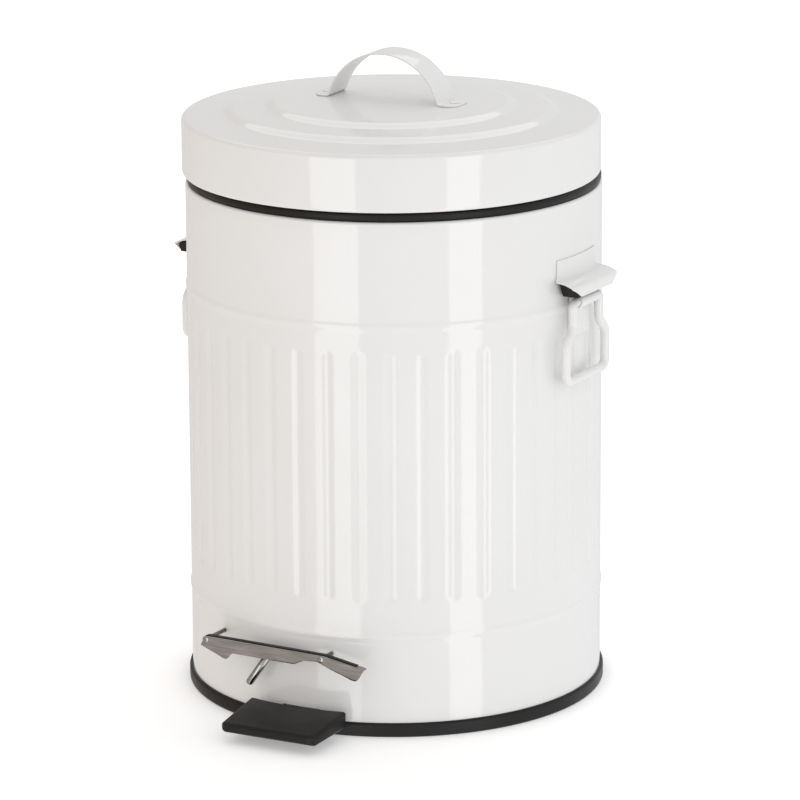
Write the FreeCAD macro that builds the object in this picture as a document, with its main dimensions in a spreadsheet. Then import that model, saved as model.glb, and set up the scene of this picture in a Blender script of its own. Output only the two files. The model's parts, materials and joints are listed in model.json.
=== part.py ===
import FreeCAD, Part
import os
import re
import Sketcher

# A round white steel pedal bin: fluted shell, domed lid on a back hinge, pedal lever under the floor,
# push rod up the back wall, lift-out bucket and a drop handle on each side.
# Millimetres and degrees. The origin is on the floor at the middle of the base, +Z up, pedal towards -Y.

SIZES = {
    # shell of painted sheet
    "body_radius": 102.5,
    "body_top": 254.5,
    "body_sheet": 0.6,
    "rim_roll": 1.4,
    "bead_low": 50.2,
    "bead_drop": 51.0,
    "bead_width": 5.5,
    "bead_rise": 0.9,
    "flute_count": 42,
    "flute_gap_low": 16.3,
    "flute_gap_high": 11.0,
    "flute_width": 7.0,
    "flute_depth": 0.65,
    # base moulding with the foot ring
    "foot_step": 1.6,
    "foot_height": 7.0,
    "foot_round": 1.3,
    "base_seat": 3.0,
    "base_fit": 0.1,
    "base_wall": 3.0,
    "floor_height": 23.0,
    "floor_sheet": 2.0,
    "lug_sheet": 4.0,
    "lug_radius": 4.5,
    # pedal lever, its pivot and the pad
    "lever_width": 18.0,
    "lever_sheet": 2.5,
    "lever_reach": 13.5,
    "lever_past": 3.0,
    "lever_low": 4.45,
    "lever_play": 1.2,
    "lever_side_gap": 0.5,
    "pivot_inset": 20.5,
    "pivot_height": 9.5,
    "pivot_radius": 2.0,
    "pivot_knuckle": 4.0,
    "pin_fit": 0.03,
    "turn_fit": 0.08,
    "pedal_width": 51.0,
    "pedal_reach": 34.5,
    "pedal_gap": 5.5,
    "pedal_tilt": 7.0,
    "pedal_front_top": 10.4,
    "pedal_bottom": 5.4,
    "pedal_nose": 2.5,
    "pedal_round": 2.0,
    "pedal_edge": 1.4,
    "pedal_fit": 0.1,
    # push rod at the back
    "rod_lead": 1.27,
    "rod_radius": 2.0,
    "rod_head_radius": 2.6,
    "rod_head": 3.0,
    "rod_play": 0.5,
    "guide_drop": 32.5,
    "guide_tall": 9.0,
    "guide_width": 14.0,
    "guide_wall": 2.2,
    "guide_rivet_radius": 2.4,
    "guide_rivet_span": 9.6,
    "guide_rivet_deep": 5.0,
    "guide_rivet_shank": 1.1,
    # rim ring, hinge and lid arm
    "ring_inset": 0.5,
    "ring_band": 4.7,
    "ring_fit": 0.15,
    "ring_wall": 2.4,
    "ring_skirt": 9.0,
    "ring_mouth_gap": 3.0,
    "ring_ledge": 2.0,
    "ring_ledge_drop": 2.0,
    "ring_crown": 0.8,
    "hinge_out": 2.4,
    "hinge_drop": 2.2,
    "hinge_pin_radius": 1.5,
    "hinge_knuckle": 3.0,
    "hinge_lug": 4.0,
    "hinge_side_gap": 1.2,
    "arm_width": 8.0,
    "crank_radius": 11.9,
    "crank_end": 2.2,
    "crank_bar": 1.8,
    "lid_swing": 72.0,
    "arm_plate_up": 4.4,
    "arm_plate_tall": 16.0,
    "arm_plate_width": 26.0,
    "arm_plate_sheet": 1.5,
    "arm_rivet_radius": 2.6,
    "arm_rivet_span": 16.0,
    # lid
    "lid_over": 0.3,
    "lid_sheet": 0.6,
    "lid_forward": 2.5,
    "lid_gap": 0.4,
    "lid_tall": 27.4,
    "lid_curl": 1.0,
    "lid_curl_tall": 2.0,
    "lid_edge_round": 2.2,
    "lid_crown": 8.0,
    "lid_bead_width": 7.0,
    "lid_bead_rise": 1.2,
    "lid_bead_inset": 24.7,
    "lid_bead_step": 20.5,
    # strap handle on the lid
    "strap_rise": 23.5,
    "strap_half_span": 30.3,
    "strap_sheet": 0.9,
    "strap_width": 19.0,
    "strap_foot": 8.6,
    "strap_seat": 0.05,
    "strap_rivet_radius": 2.8,
    "strap_rivet_rise": 0.9,
    "rivet_shank": 1.4,
    "rivet_fit": 0.05,
    # bucket and its bail
    "bucket_gap": 1.4,
    "bucket_drop": 5.5,
    "bucket_lip": 2.5,
    "bucket_taper": 11.5,
    "bucket_wall": 1.4,
    "bucket_rim_tall": 2.0,
    "ear_sheet": 2.4,
    "ear_width": 9.0,
    "ear_tall": 6.0,
    "bucket_bail_inset": 6.5,
    "bucket_bail_wire": 1.5,
    # side handles
    "handle_turn": -3.0,
    "handle_sheet": 0.8,
    "handle_seat": 0.05,
    "axle_up": 2.5,
    "plate_up": 6.5,
    "plate_tall": 15.0,
    "plate_width": 39.0,
    "hood_up": 5.5,
    "hood_width": 45.0,
    "hood_reach": 10.0,
    "hood_drop": 2.8,
    "hood_lip_reach": 0.6,
    "hood_lip_drop": 4.6,
    "hood_corner": 7.0,
    "tongue_width": 19.0,
    "tongue_drop": 18.0,
    "bail_wire": 2.3,
    "bail_knuckle": 3.3,
    "bail_neck": 13.4,
    "bail_spread": 20.2,
    "bail_drop": 38.0,
    "bail_neck_drop": 9.4,
    "bail_flare": 13.2,
    "bail_top_round": 3.2,
    "bail_corner": 4.5,
    "liner_width": 40.0,
    "liner_gap": 0.5,
    "liner_reach": 4.8,
    # kick guard above the pedal
    "guard_turn": -3.0,
    "guard_gap": 7.5,
    "guard_sheet": 1.0,
    "guard_high": 42.6,
    "guard_left": 46.0,
    "guard_right": 45.5,
    "guard_bar_tall": 6.4,
    "guard_tall": 10.0,
    "guard_lip_deep": 2.6,
    "guard_lip_tall": 1.0,
    "guard_strip_tall": 0.4,
    "guard_pin_radius": 1.1,
    "guard_pin_drop": 1.7,
    "guard_pin_head": 1.7,
    "guard_pin_proud": 0.6,
    "guard_seat": 0.05,
    "peg_radius": 1.9,
    "peg_drop": 3.1,
    "peg_tall": 18.5,
    "peg_side": 7.7,
    "peg_lean": 13.3,
    # every cut runs past its piece by this much
    "overrun": 5.0,
}


def bow(chord, rise):
    """Radius of an arc from its chord and its rise."""
    return f"((({chord}) ^ 2 / 4 + ({rise}) ^ 2) / (2 * ({rise})))"


# Sizes and places that follow from the ones above.
LINKED = {
    "bead_high": "body_top - bead_drop",
    "bead_radius": bow("bead_width", "bead_rise"),
    "shell_inside": "body_radius - body_sheet",
    "flute_bottom": "bead_low + flute_gap_low",
    "flute_top": "bead_high - flute_gap_high",
    "flute_radius": bow("flute_width", "flute_depth"),
    "flute_axis": "body_radius - flute_depth + flute_radius",
    "foot_radius": "body_radius + foot_step",
    "ring_radius": "body_radius - ring_inset",
    "ring_top": "body_top + ring_band",
    "hinge_back": "body_radius + hinge_out",
    "hinge_height": "ring_top - hinge_drop",
    "notch_half": "arm_width / 2 + hinge_side_gap - ring_fit",
    "crank_back": "hinge_back - crank_radius * cos(lid_swing / 2)",
    "crank_low": "hinge_height - crank_radius * sin(lid_swing / 2)",
    "rod_back": "crank_back - rod_lead",
    "rod_lift": "2 * crank_radius * sin(lid_swing / 2)",
    "guide_height": "body_top - guide_drop",
    "pivot_front": "body_radius - pivot_inset",
    "lever_nose": "body_radius + lever_reach",
    "lever_tail": "rod_back + lever_past",
    "lever_slope": "(pivot_height - lever_low) / (pivot_front + rod_back)",
    "pedal_front": "body_radius + pedal_reach",
    "bucket_rim": "rod_back - rod_head_radius - bucket_gap",
    "bucket_top": "body_top - bucket_drop",
    "bucket_top_radius": "bucket_rim - bucket_lip",
    "bucket_floor_radius": "bucket_top_radius - bucket_taper",
    "bucket_bail_radius": "bucket_rim - bucket_bail_inset",
    "ring_mouth": "bucket_rim + ring_mouth_gap",
    "lid_radius": "body_radius + lid_over",
    "lid_bottom": "ring_top + lid_gap",
    "lid_edge": "lid_bottom + lid_tall",
    "lid_sphere": bow("2 * (lid_radius - lid_edge_round)", "lid_crown"),
    "lid_bead_outer": "lid_radius - lid_bead_inset",
    "lid_bead_inner": "lid_bead_outer - lid_bead_step",
    "arm_plate_low": "lid_bottom + arm_plate_up",
    "arm_plate_high": "arm_plate_low + arm_plate_tall",
    "strap_top": "lid_edge + lid_crown + strap_rise",
    "bail_axle_height": "bead_high + axle_up",
    "axle_out": "body_radius + bead_rise + handle_seat + bail_knuckle",
    "bail_low": "bail_axle_height - bail_drop",
    "bail_flare_top": "bail_axle_height - bail_neck_drop",
    "bail_flare_low": "bail_flare_top - bail_flare",
    "bail_bend": "((bail_spread - bail_neck) ^ 2 + bail_flare ^ 2) / (4 * (bail_spread - bail_neck))",
    "plate_low": "bail_axle_height + plate_up",
    "plate_high": "plate_low + plate_tall",
    "hood_root": "plate_low + hood_up",
    "tongue_low": "bail_axle_height - tongue_drop",
    "tongue_in": "body_radius + handle_seat + handle_sheet / 2",
    "tongue_out": "body_radius + bead_rise + handle_seat + handle_sheet",
    "guard_stand": "body_radius + guard_gap",
    "guard_bar_low": "guard_high - guard_bar_tall",
    "guard_lobe_low": "guard_high - guard_tall",
    "guard_pin_height": "guard_high - guard_pin_drop",
    "peg_top": "guard_high - peg_drop",
    "peg_tip": "peg_top - peg_tall",
}

FULL_TURN = 360.0
SQUARE_TURN = 90.0

doc = FreeCAD.newDocument("pedal_bin")
sheet = doc.addObject("Spreadsheet::Sheet", "Sizes")
parts = []


def fill_sheet():
    """One row a size: its name, and its value or formula under the same name as alias."""
    linked = {alias: f"={formula}" for alias, formula in LINKED.items()}
    for row, (alias, content) in enumerate({**SIZES, **linked}.items(), start=1):
        sheet.set(f"A{row}", alias)
        sheet.set(f"B{row}", str(content))
        sheet.setAlias(f"B{row}", alias)
    doc.recompute()


def bound(formula):
    """A formula in size names, written with the sheet's cells."""
    def cell(word):
        known = word[0] in SIZES or word[0] in LINKED
        return f"Sizes.{word[0]}" if known else word[0]
    return re.sub(r"[a-z][a-z_0-9]*", cell, formula)


def value(formula):
    """What a formula in size names comes to."""
    return float(sheet.evalExpression(formula))


def bind(item, **formulas):
    """Ties properties to formulas; a double underscore stands for a dot in the property's path."""
    for path, formula in formulas.items():
        item.setExpression(path.replace("__", "."), bound(formula))


def new_body(label):
    body = doc.addObject("PartDesign::Body", label)
    body.Label = label
    parts.append(body)
    return body


def new_sketch(body, plane, away="0"):
    """A sketch on one of the body's origin planes, moved along the plane's normal."""
    sketch = body.newObject("Sketcher::SketchObject", f"{body.Label}_sketch")
    support = next(item for item in body.Origin.OriginFeatures if item.Role == f"{plane}_Plane")
    sketch.AttachmentSupport = [(support, "")]
    sketch.MapMode = "FlatFace"
    bind(sketch, AttachmentOffset__Base__z=away)
    return sketch


def hold_point(sketch, edge, end, x, y):
    """Ties one end of an edge to its place."""
    for kind, axis, formula in (("DistanceX", -2, x), ("DistanceY", -1, y)):
        number = value(formula)
        if number == 0:
            sketch.addConstraint(Sketcher.Constraint("PointOnObject", edge, end, axis))
        else:
            index = sketch.addConstraint(Sketcher.Constraint(kind, edge, end, number))
            sketch.setExpression(f"Constraints[{index}]", bound(formula))


def hold_radius(sketch, edge, formula):
    index = sketch.addConstraint(Sketcher.Constraint("Radius", edge, abs(value(formula))))
    sketch.setExpression(f"Constraints[{index}]", bound(f"abs({formula})"))


def arc_between(start, stop, radius):
    """The shorter arc from start to stop; a positive radius turns left, a negative one right."""
    chord = stop - start
    side = FreeCAD.Vector(-chord.y, chord.x, 0).normalize()
    rise = max(radius ** 2 - (chord.Length / 2) ** 2, 0) ** 0.5
    centre = (start + stop) / 2 + side * (rise if radius > 0 else -rise)
    first, last = (start, stop) if radius > 0 else (stop, start)
    circle = Part.Circle(centre, FreeCAD.Vector(0, 0, 1), abs(radius))
    return Part.ArcOfCircle(circle, circle.parameter(first), circle.parameter(last))


def draw(sketch, *points, closed=True):
    """An outline through the points. A third entry is the radius of the arc that arrives there."""
    places = [FreeCAD.Vector(value(point[0]), value(point[1]), 0) for point in points]
    edges = []
    for index, point in enumerate(points):
        if index == 0 and not closed:
            continue
        start, stop = places[index - 1], places[index]
        if len(point) == 2:
            edge = sketch.addGeometry(Part.LineSegment(start, stop), False)
            edges.append((edge, 1, 2, point))
        else:
            edge = sketch.addGeometry(arc_between(start, stop, value(point[2])), False)
            tail, head = (1, 2) if value(point[2]) > 0 else (2, 1)
            edges.append((edge, tail, head, point))
    for index, (edge, tail, head, point) in enumerate(edges):
        following = edges[(index + 1) % len(edges)]
        if closed or index + 1 < len(edges):
            sketch.addConstraint(Sketcher.Constraint("Coincident", edge, head, following[0], following[1]))
        hold_point(sketch, edge, head, point[0], point[1])
        if len(point) == 3:
            hold_radius(sketch, edge, point[2])
    if not closed:
        hold_point(sketch, edges[0][0], edges[0][1], points[0][0], points[0][1])


def ring_line(sketch, x, y, radius):
    """A full circle."""
    centre = FreeCAD.Vector(value(x), value(y), 0)
    edge = sketch.addGeometry(Part.Circle(centre, FreeCAD.Vector(0, 0, 1), value(radius)), False)
    hold_point(sketch, edge, 3, x, y)
    hold_radius(sketch, edge, radius)


def turned(body, kind, *points):
    """A revolution, or a groove, of an outline about the upright axis."""
    sketch = new_sketch(body, "XZ")
    draw(sketch, *points)
    feature = body.newObject(f"PartDesign::{kind}", f"{body.Label}_turned")
    feature.Profile = sketch
    feature.ReferenceAxis = (sketch, ["V_Axis"])
    feature.Angle = FULL_TURN
    return feature


def padded(body, sketch, length, both_ways=False, back=False):
    feature = body.newObject("PartDesign::Pad", f"{body.Label}_pad")
    feature.Profile = sketch
    feature.SideType = "Symmetric" if both_ways else "One side"
    feature.Reversed = back
    bind(feature, Length=length)
    return feature


def cut_out(body, sketch, length, both_ways=False, back=False):
    """A pocket that has to take some volume away."""
    doc.recompute()
    before = body.Shape.Volume
    feature = body.newObject("PartDesign::Pocket", f"{body.Label}_cut")
    feature.Profile = sketch
    feature.SideType = "Symmetric" if both_ways else "One side"
    feature.Reversed = back
    bind(feature, Length=length)
    doc.recompute()
    if body.Shape.Volume >= before:
        raise RuntimeError(f"{body.Label}: a cut takes nothing away")
    return feature


def box_outline(left, right, low, high):
    return (left, low), (right, low), (right, high), (left, high)


def patterned(body, features, count):
    """The features, repeated round the upright axis."""
    pattern = body.newObject("PartDesign::PolarPattern", f"{body.Label}_pattern")
    pattern.Originals = features
    axis = next(item for item in body.Origin.OriginFeatures if item.Role == "Z_Axis")
    pattern.Axis = (axis, [""])
    pattern.Angle = FULL_TURN
    bind(pattern, Occurrences=count)
    body.Tip = pattern
    return pattern


def cylinder(label, radius, length, axis, x="0", y="0", z="0", own=True):
    """A round bar along an axis, centred on its place along that axis."""
    item = doc.addObject("Part::Cylinder", label)
    item.Label = label
    spin = {"X": FreeCAD.Vector(0, 1, 0), "Y": FreeCAD.Vector(-1, 0, 0)}.get(axis)
    if spin:
        item.Placement = FreeCAD.Placement(FreeCAD.Vector(), FreeCAD.Rotation(spin, SQUARE_TURN))
    middle = {"X": x, "Y": y, "Z": z}
    middle[axis] = f"{middle[axis]} - ({length}) / 2"
    bind(item, Radius=radius, Height=length)
    bind(item, Placement__Base__x=middle["X"], Placement__Base__y=middle["Y"], Placement__Base__z=middle["Z"])
    if own:
        parts.append(item)
    return item


def group(label, items, kind="Part::Compound"):
    """Separate solids in one node, or one solid fused from several."""
    item = doc.addObject(kind, label)
    item.Label = label
    if kind == "Part::Compound":
        item.Links = items
    else:
        item.Shapes = items
    parts.append(item)
    return item


def turn_about_z(item, angle):
    """Turns a piece about the bin's axis."""
    turn = FreeCAD.Rotation(FreeCAD.Vector(0, 0, 1), value(angle))
    item.Placement = FreeCAD.Placement(FreeCAD.Vector(), turn)
    bind(item, Placement__Rotation__Angle=angle)


def lever_line(along):
    """Height of the lever's middle line where the bin's Y is the given formula."""
    return f"(pivot_height - (pivot_front + {along}) * lever_slope)"


def shell_face(radius, low, high, roll, roll_height):
    """One face of the shell's wall, from its lower edge over both beads to the rolled top edge."""
    face = [("0", low), (radius, low)]
    for bead in ("bead_low", "bead_high"):
        face.append((radius, f"{bead} - bead_width / 2"))
        face.append((radius, f"{bead} + bead_width / 2", "bead_radius"))
    face.append((radius, "body_top - rim_roll"))
    face.append(("body_radius - rim_roll", roll_height, roll))
    if high != roll_height:
        face.append(("body_radius - rim_roll", high))
    face.append(("0", high))
    return face


def make_body_shell():
    body = new_body("body_shell")
    turned(body, "Revolution", *shell_face("body_radius", "base_seat", "body_top", "rim_roll", "body_top"))
    inner_roll = "rim_roll - body_sheet"
    inside = shell_face("shell_inside", "base_seat - overrun", "body_top + overrun", inner_roll,
                        "body_top - body_sheet")
    turned(body, "Groove", *inside)

    # Each flute is pressed in from outside: a round-ended groove, and the same bulge on the inner face.
    low = "(flute_bottom + flute_width / 2)"
    high = "(flute_top - flute_width / 2)"
    rib_sketch = new_sketch(body, "XY", low)
    chord = "(body_radius - body_sheet / 2)"
    rib_radius = "(flute_radius + body_sheet)"
    half = f"sqrt({rib_radius} ^ 2 - (flute_axis - {chord}) ^ 2)"
    draw(rib_sketch, (f"-{half}", f"-{chord}"), (half, f"-{chord}", f"-{rib_radius}"))
    rib = padded(body, rib_sketch, f"{high} - {low}")
    flute_sketch = new_sketch(body, "YZ")
    bind(flute_sketch, AttachmentOffset__Base__x="-flute_axis")
    draw(flute_sketch, ("0", f"{low} - flute_radius"), ("flute_radius", low, "flute_radius"),
         ("flute_radius", high), ("0", f"{high} + flute_radius", "flute_radius"))
    flute = body.newObject("PartDesign::Groove", "flute")
    flute.Profile = flute_sketch
    flute.ReferenceAxis = (flute_sketch, ["V_Axis"])
    flute.Angle = FULL_TURN
    patterned(body, [rib, flute], "flute_count")

    # Slot for the lever at the front, notch for the crank at the back.
    slot = new_sketch(body, "XZ")
    draw(slot, *lever_slot())
    cut_out(body, slot, "body_radius + overrun", back=True)
    notch = new_sketch(body, "XZ")
    draw(notch, *box_outline("-notch_half", "notch_half", "body_top - ring_skirt", "body_top + overrun"))
    cut_out(body, notch, "body_radius + overrun")
    holes = new_sketch(body, "XZ")
    guide_rivet_rings(holes)
    cut_out(body, holes, "body_radius + overrun")


def guide_rivet_rings(sketch):
    """The two rivet holes that hold the rod guide to the shell."""
    for side in ("", "-"):
        ring_line(sketch, f"{side}guide_rivet_span / 2", "guide_height + guide_tall / 2",
                  "guide_rivet_shank + rivet_fit")


def lever_slot():
    """Room for the lever's travel where it leaves the bin."""
    half = "(lever_width / 2 + lever_play)"
    room = "(lever_sheet / 2 + lever_play)"
    dip = "(rod_lift / (pivot_front + rod_back) - lever_slope)"
    pressed = f"(pivot_height - (body_radius - pivot_front) * {dip})"
    return box_outline(f"-{half}", half, f"{pressed} - {room}", f"{lever_line('-body_radius')} + {room}")


def make_base_moulding():
    body = new_body("base_moulding")
    collar = "(shell_inside - base_fit)"
    hollow = f"({collar} - base_wall)"
    turned(body, "Revolution",
           (hollow, "0"), ("foot_radius - foot_round", "0"), ("foot_radius", "foot_round", "foot_round"),
           ("foot_radius", "foot_height - foot_round"),
           ("foot_radius - foot_round", "foot_height", "foot_round"),
           ("body_radius + base_fit", "foot_height"), ("body_radius + base_fit", "base_seat"),
           (collar, "base_seat"), (collar, "floor_height"), ("0", "floor_height"),
           ("0", "floor_height - floor_sheet"), (hollow, "floor_height - floor_sheet"))
    slot = new_sketch(body, "XZ")
    draw(slot, *lever_slot())
    cut_out(body, slot, "foot_radius + overrun", back=True)

    # Two lugs under the floor carry the lever's pivot pin.
    root = "(floor_height - floor_sheet / 2)"
    inner = "(lever_width / 2 + lever_side_gap)"
    for away in (inner, f"-{inner} - lug_sheet"):
        lug = new_sketch(body, "YZ", away)
        draw(lug, ("lug_radius - pivot_front", root), ("-lug_radius - pivot_front", root),
             ("-lug_radius - pivot_front", "pivot_height"),
             ("-pivot_front", "pivot_height - lug_radius", "lug_radius"),
             ("lug_radius - pivot_front", "pivot_height", "lug_radius"))
        padded(body, lug, "lug_sheet")
    bore = new_sketch(body, "YZ")
    ring_line(bore, "-pivot_front", "pivot_height", "pivot_radius + pin_fit")
    cut_out(body, bore, f"2 * ({inner} + lug_sheet + lever_play)", both_ways=True)
    rod_hole = new_sketch(body, "XY", "floor_height + overrun")
    ring_line(rod_hole, "0", "rod_back", "rod_radius + turn_fit")
    cut_out(body, rod_hole, "floor_sheet + 2 * overrun")


def make_pedal_lever():
    body = new_body("pedal_lever")
    strip = new_sketch(body, "YZ")
    draw(strip, *lever_strip("-lever_nose", "lever_tail", "lever_sheet / 2"))
    padded(body, strip, "lever_width", both_ways=True)
    knuckle = new_sketch(body, "YZ")
    ring_line(knuckle, "-pivot_front", "pivot_height", "pivot_knuckle")
    padded(body, knuckle, "lever_width", both_ways=True)
    bore = new_sketch(body, "YZ")
    ring_line(bore, "-pivot_front", "pivot_height", "pivot_radius + turn_fit")
    cut_out(body, bore, "lever_width + overrun", both_ways=True)


def lever_strip(nose, tail, half):
    """Side view of the lever's strip, or of the room for it."""
    return ((nose, f"{lever_line(nose)} - {half}"), (tail, f"{lever_line(tail)} - {half}"),
            (tail, f"{lever_line(tail)} + {half}"), (nose, f"{lever_line(nose)} + {half}"))


def make_pedal_pad():
    """A wedge with a rounded nose and rounded ends, and a concave back that follows the shell."""
    body = new_body("pedal_pad")
    back = "(-body_radius - pedal_gap / 2)"
    start_y = "(pedal_round * (1 - sin(pedal_tilt)) - pedal_front)"
    start_z = "(pedal_front_top - pedal_round * (1 - cos(pedal_tilt)))"
    high = f"({start_z} + ({back} - {start_y}) * tan(pedal_tilt))"
    side = new_sketch(body, "YZ")
    draw(side, (back, high), (start_y, start_z),
         ("-pedal_front", "pedal_front_top - pedal_round", "pedal_round"),
         ("-pedal_front", "pedal_bottom + pedal_nose"),
         ("pedal_nose - pedal_front", "pedal_bottom", "pedal_nose"), (back, "pedal_bottom"))
    wedge = padded(body, side, "pedal_width", both_ways=True)
    doc.recompute()
    rims = [f"Edge{index}" for index, edge in enumerate(wedge.Shape.Edges, start=1) if on_pedal_end(edge)]
    rounding = body.newObject("PartDesign::Fillet", "pedal_rounding")
    rounding.Base = (wedge, rims)
    bind(rounding, Radius="pedal_edge")
    wall = new_sketch(body, "XY")
    ring_line(wall, "0", "0", "body_radius + pedal_gap")
    cut_out(body, wall, f"2 * ({high} + overrun)", both_ways=True)
    slot = new_sketch(body, "YZ")
    draw(slot, *lever_strip("(-lever_nose - pedal_fit)", back, "(lever_sheet / 2 + pedal_fit)"))
    cut_out(body, slot, "lever_width + 2 * pedal_fit", both_ways=True)


def on_pedal_end(edge):
    """Whether an edge of the pedal belongs to the outline of its left or right end, ahead of its back."""
    reach = value("pedal_width / 2 - pedal_fit")
    ahead = edge.CenterOfMass.y < value("-body_radius - pedal_gap")
    return ahead and all(abs(corner.X) > reach for corner in edge.Vertexes)


def make_push_rod():
    bottom = f"({lever_line('rod_back')} + lever_sheet / 2 + rod_play)"
    top = "(crank_low - crank_end - rod_play)"
    stem = cylinder("rod_stem", "rod_radius", f"({top} - {bottom})", "Z", y="rod_back",
                    z=f"({top} + {bottom}) / 2", own=False)
    head = cylinder("rod_cap", "rod_head_radius", "rod_head", "Z", y="rod_back",
                    z=f"{top} - rod_head / 2", own=False)
    group("push_rod", [stem, head], "Part::MultiFuse")


def make_rod_guide():
    """A moulded saddle on the shell's inner face, with a bore for the rod."""
    body = new_body("rod_guide")
    block = new_sketch(body, "XY", "guide_height")
    half = "(guide_width / 2)"
    face = "(shell_inside - base_fit)"
    edge = f"sqrt({face} ^ 2 - {half} ^ 2)"
    near = "(rod_back - rod_radius - guide_wall)"
    draw(block, (f"-{half}", near), (half, near), (half, edge), (f"-{half}", edge, face))
    padded(body, block, "guide_tall")
    bore = new_sketch(body, "XY", "guide_height + guide_tall + overrun")
    ring_line(bore, "0", "rod_back", "rod_radius + turn_fit")
    cut_out(body, bore, "guide_tall + 2 * overrun")
    holes = new_sketch(body, "XZ", "guide_rivet_deep + rivet_fit - body_radius")
    guide_rivet_rings(holes)
    cut_out(body, holes, "guide_rivet_deep + overrun")


def make_rim_ring():
    """The black ring on the shell's top edge, with the lugs of the lid's hinge."""
    body = new_body("rim_ring")
    outside = "(body_radius - rim_roll - ring_fit)"
    inside = f"({outside} - ring_wall)"
    foot = "(body_top + ring_fit)"
    ledge = "(ring_top - ring_ledge_drop)"
    turned(body, "Revolution",
           (outside, f"{foot} - ring_skirt"), (outside, foot), ("ring_radius - ring_crown", foot),
           ("ring_radius - ring_crown", "ring_top", bow(f"(ring_top - {foot})", "ring_crown")),
           (inside, "ring_top"), (inside, ledge), ("ring_mouth", ledge),
           ("ring_mouth", f"{ledge} - ring_ledge"),
           (inside, f"{ledge} - ring_ledge"), (inside, f"{foot} - ring_skirt"))
    notch = new_sketch(body, "XZ")
    draw(notch, *box_outline("-notch_half", "notch_half", "body_top - 2 * ring_skirt", "ring_top + overrun"))
    cut_out(body, notch, "ring_radius + overrun")
    lug = "(hinge_knuckle + ring_fit)"
    near = f"({inside} + ring_wall / 2)"
    for away in ("notch_half", "-notch_half - hinge_lug"):
        ear = new_sketch(body, "YZ", away)
        draw(ear, (near, f"{foot} + ring_fit"), ("hinge_back", f"hinge_height - {lug}"),
             (f"hinge_back + {lug}", "hinge_height", lug), ("hinge_back", f"hinge_height + {lug}", lug),
             (f"hinge_back - {lug}", "ring_top"), (near, "ring_top"))
        padded(body, ear, "hinge_lug")
    bore = new_sketch(body, "YZ")
    ring_line(bore, "hinge_back", "hinge_height", "hinge_pin_radius + pin_fit")
    cut_out(body, bore, "2 * (notch_half + hinge_lug + ring_fit)", both_ways=True)


def make_lid_hinge_arm():
    """Knuckle on the hinge pin, crank towards the rod, and a plate on the back of the lid's skirt."""
    body = new_body("lid_hinge_arm")
    skirt = "(lid_radius - lid_forward + strap_seat)"
    outer = f"({skirt} + arm_plate_sheet)"
    crank = new_sketch(body, "YZ")
    side_y = "(crank_bar / 2 * sin(lid_swing / 2))"
    side_z = "(crank_bar / 2 * cos(lid_swing / 2))"
    draw(crank, (f"hinge_back - {side_y}", f"hinge_height + {side_z}"),
         (f"crank_back - {side_y}", f"crank_low + {side_z}"),
         (f"crank_back + {side_y}", f"crank_low - {side_z}"),
         (f"hinge_back + {side_y}", f"hinge_height - {side_z}"))
    padded(body, crank, "arm_width", both_ways=True)
    tip = new_sketch(body, "YZ")
    ring_line(tip, "crank_back", "crank_low", "crank_end")
    padded(body, tip, "arm_width", both_ways=True)
    knuckle = new_sketch(body, "YZ")
    ring_line(knuckle, "hinge_back", "hinge_height", "hinge_knuckle")
    padded(body, knuckle, "arm_width", both_ways=True)
    riser = new_sketch(body, "YZ")
    draw(riser, (f"{outer} - arm_plate_sheet / 2", "hinge_height + hinge_knuckle / 2"),
         ("hinge_back + hinge_knuckle / 2", "hinge_height"),
         ("hinge_back + hinge_knuckle / 2", "arm_plate_low"), (outer, "arm_plate_high"),
         (skirt, "arm_plate_high"), (skirt, "arm_plate_low"))
    padded(body, riser, "arm_width", both_ways=True)
    plate = new_sketch(body, "YZ")
    draw(plate, *box_outline(skirt, outer, "arm_plate_low", "arm_plate_high"))
    padded(body, plate, "arm_plate_width", both_ways=True)
    bore = new_sketch(body, "YZ")
    ring_line(bore, "hinge_back", "hinge_height", "hinge_pin_radius + turn_fit")
    cut_out(body, bore, "arm_width + overrun", both_ways=True)
    holes = new_sketch(body, "XZ")
    arm_rivet_rings(holes)
    cut_out(body, holes, "hinge_back + overrun")


def arm_rivet_rings(sketch):
    """The two rivet holes that hold the arm's plate to the lid's skirt."""
    for side in ("", "-"):
        ring_line(sketch, f"{side}arm_rivet_span / 2", "(arm_plate_low + arm_plate_high) / 2",
                  "rivet_shank + rivet_fit")


def dome(radius, drop="0"):
    """Height of the lid's domed top at a distance from its middle."""
    return f"(lid_edge + lid_crown - lid_sphere + sqrt(lid_sphere ^ 2 - ({radius}) ^ 2) - {drop})"


def lid_face(inset, low):
    """One face of the lid, from the curled lower edge up the skirt and over both rings to the middle."""
    edge = f"(lid_radius - lid_curl - {inset})"
    face = [("0", low), (edge, low)]
    if low != "lid_bottom":
        face.append((edge, "lid_bottom"))
    face.append((f"lid_radius - {inset}", "lid_bottom + lid_curl_tall", bow("2 * lid_curl_tall", "lid_curl")))
    face.append((f"lid_radius - {inset}", "lid_edge - lid_edge_round"))
    face.append(("lid_radius - lid_edge_round", f"lid_edge - {inset}", f"lid_edge_round - {inset}"))
    for bead in ("lid_bead_outer", "lid_bead_inner"):
        near = f"({bead} + lid_bead_width / 2)"
        far = f"({bead} - lid_bead_width / 2)"
        face.append((near, dome(near, inset), "lid_sphere"))
        face.append((far, dome(far, inset), bow("lid_bead_width", "lid_bead_rise")))
    face.append(("0", dome("0", inset), "lid_sphere"))
    return face


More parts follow.
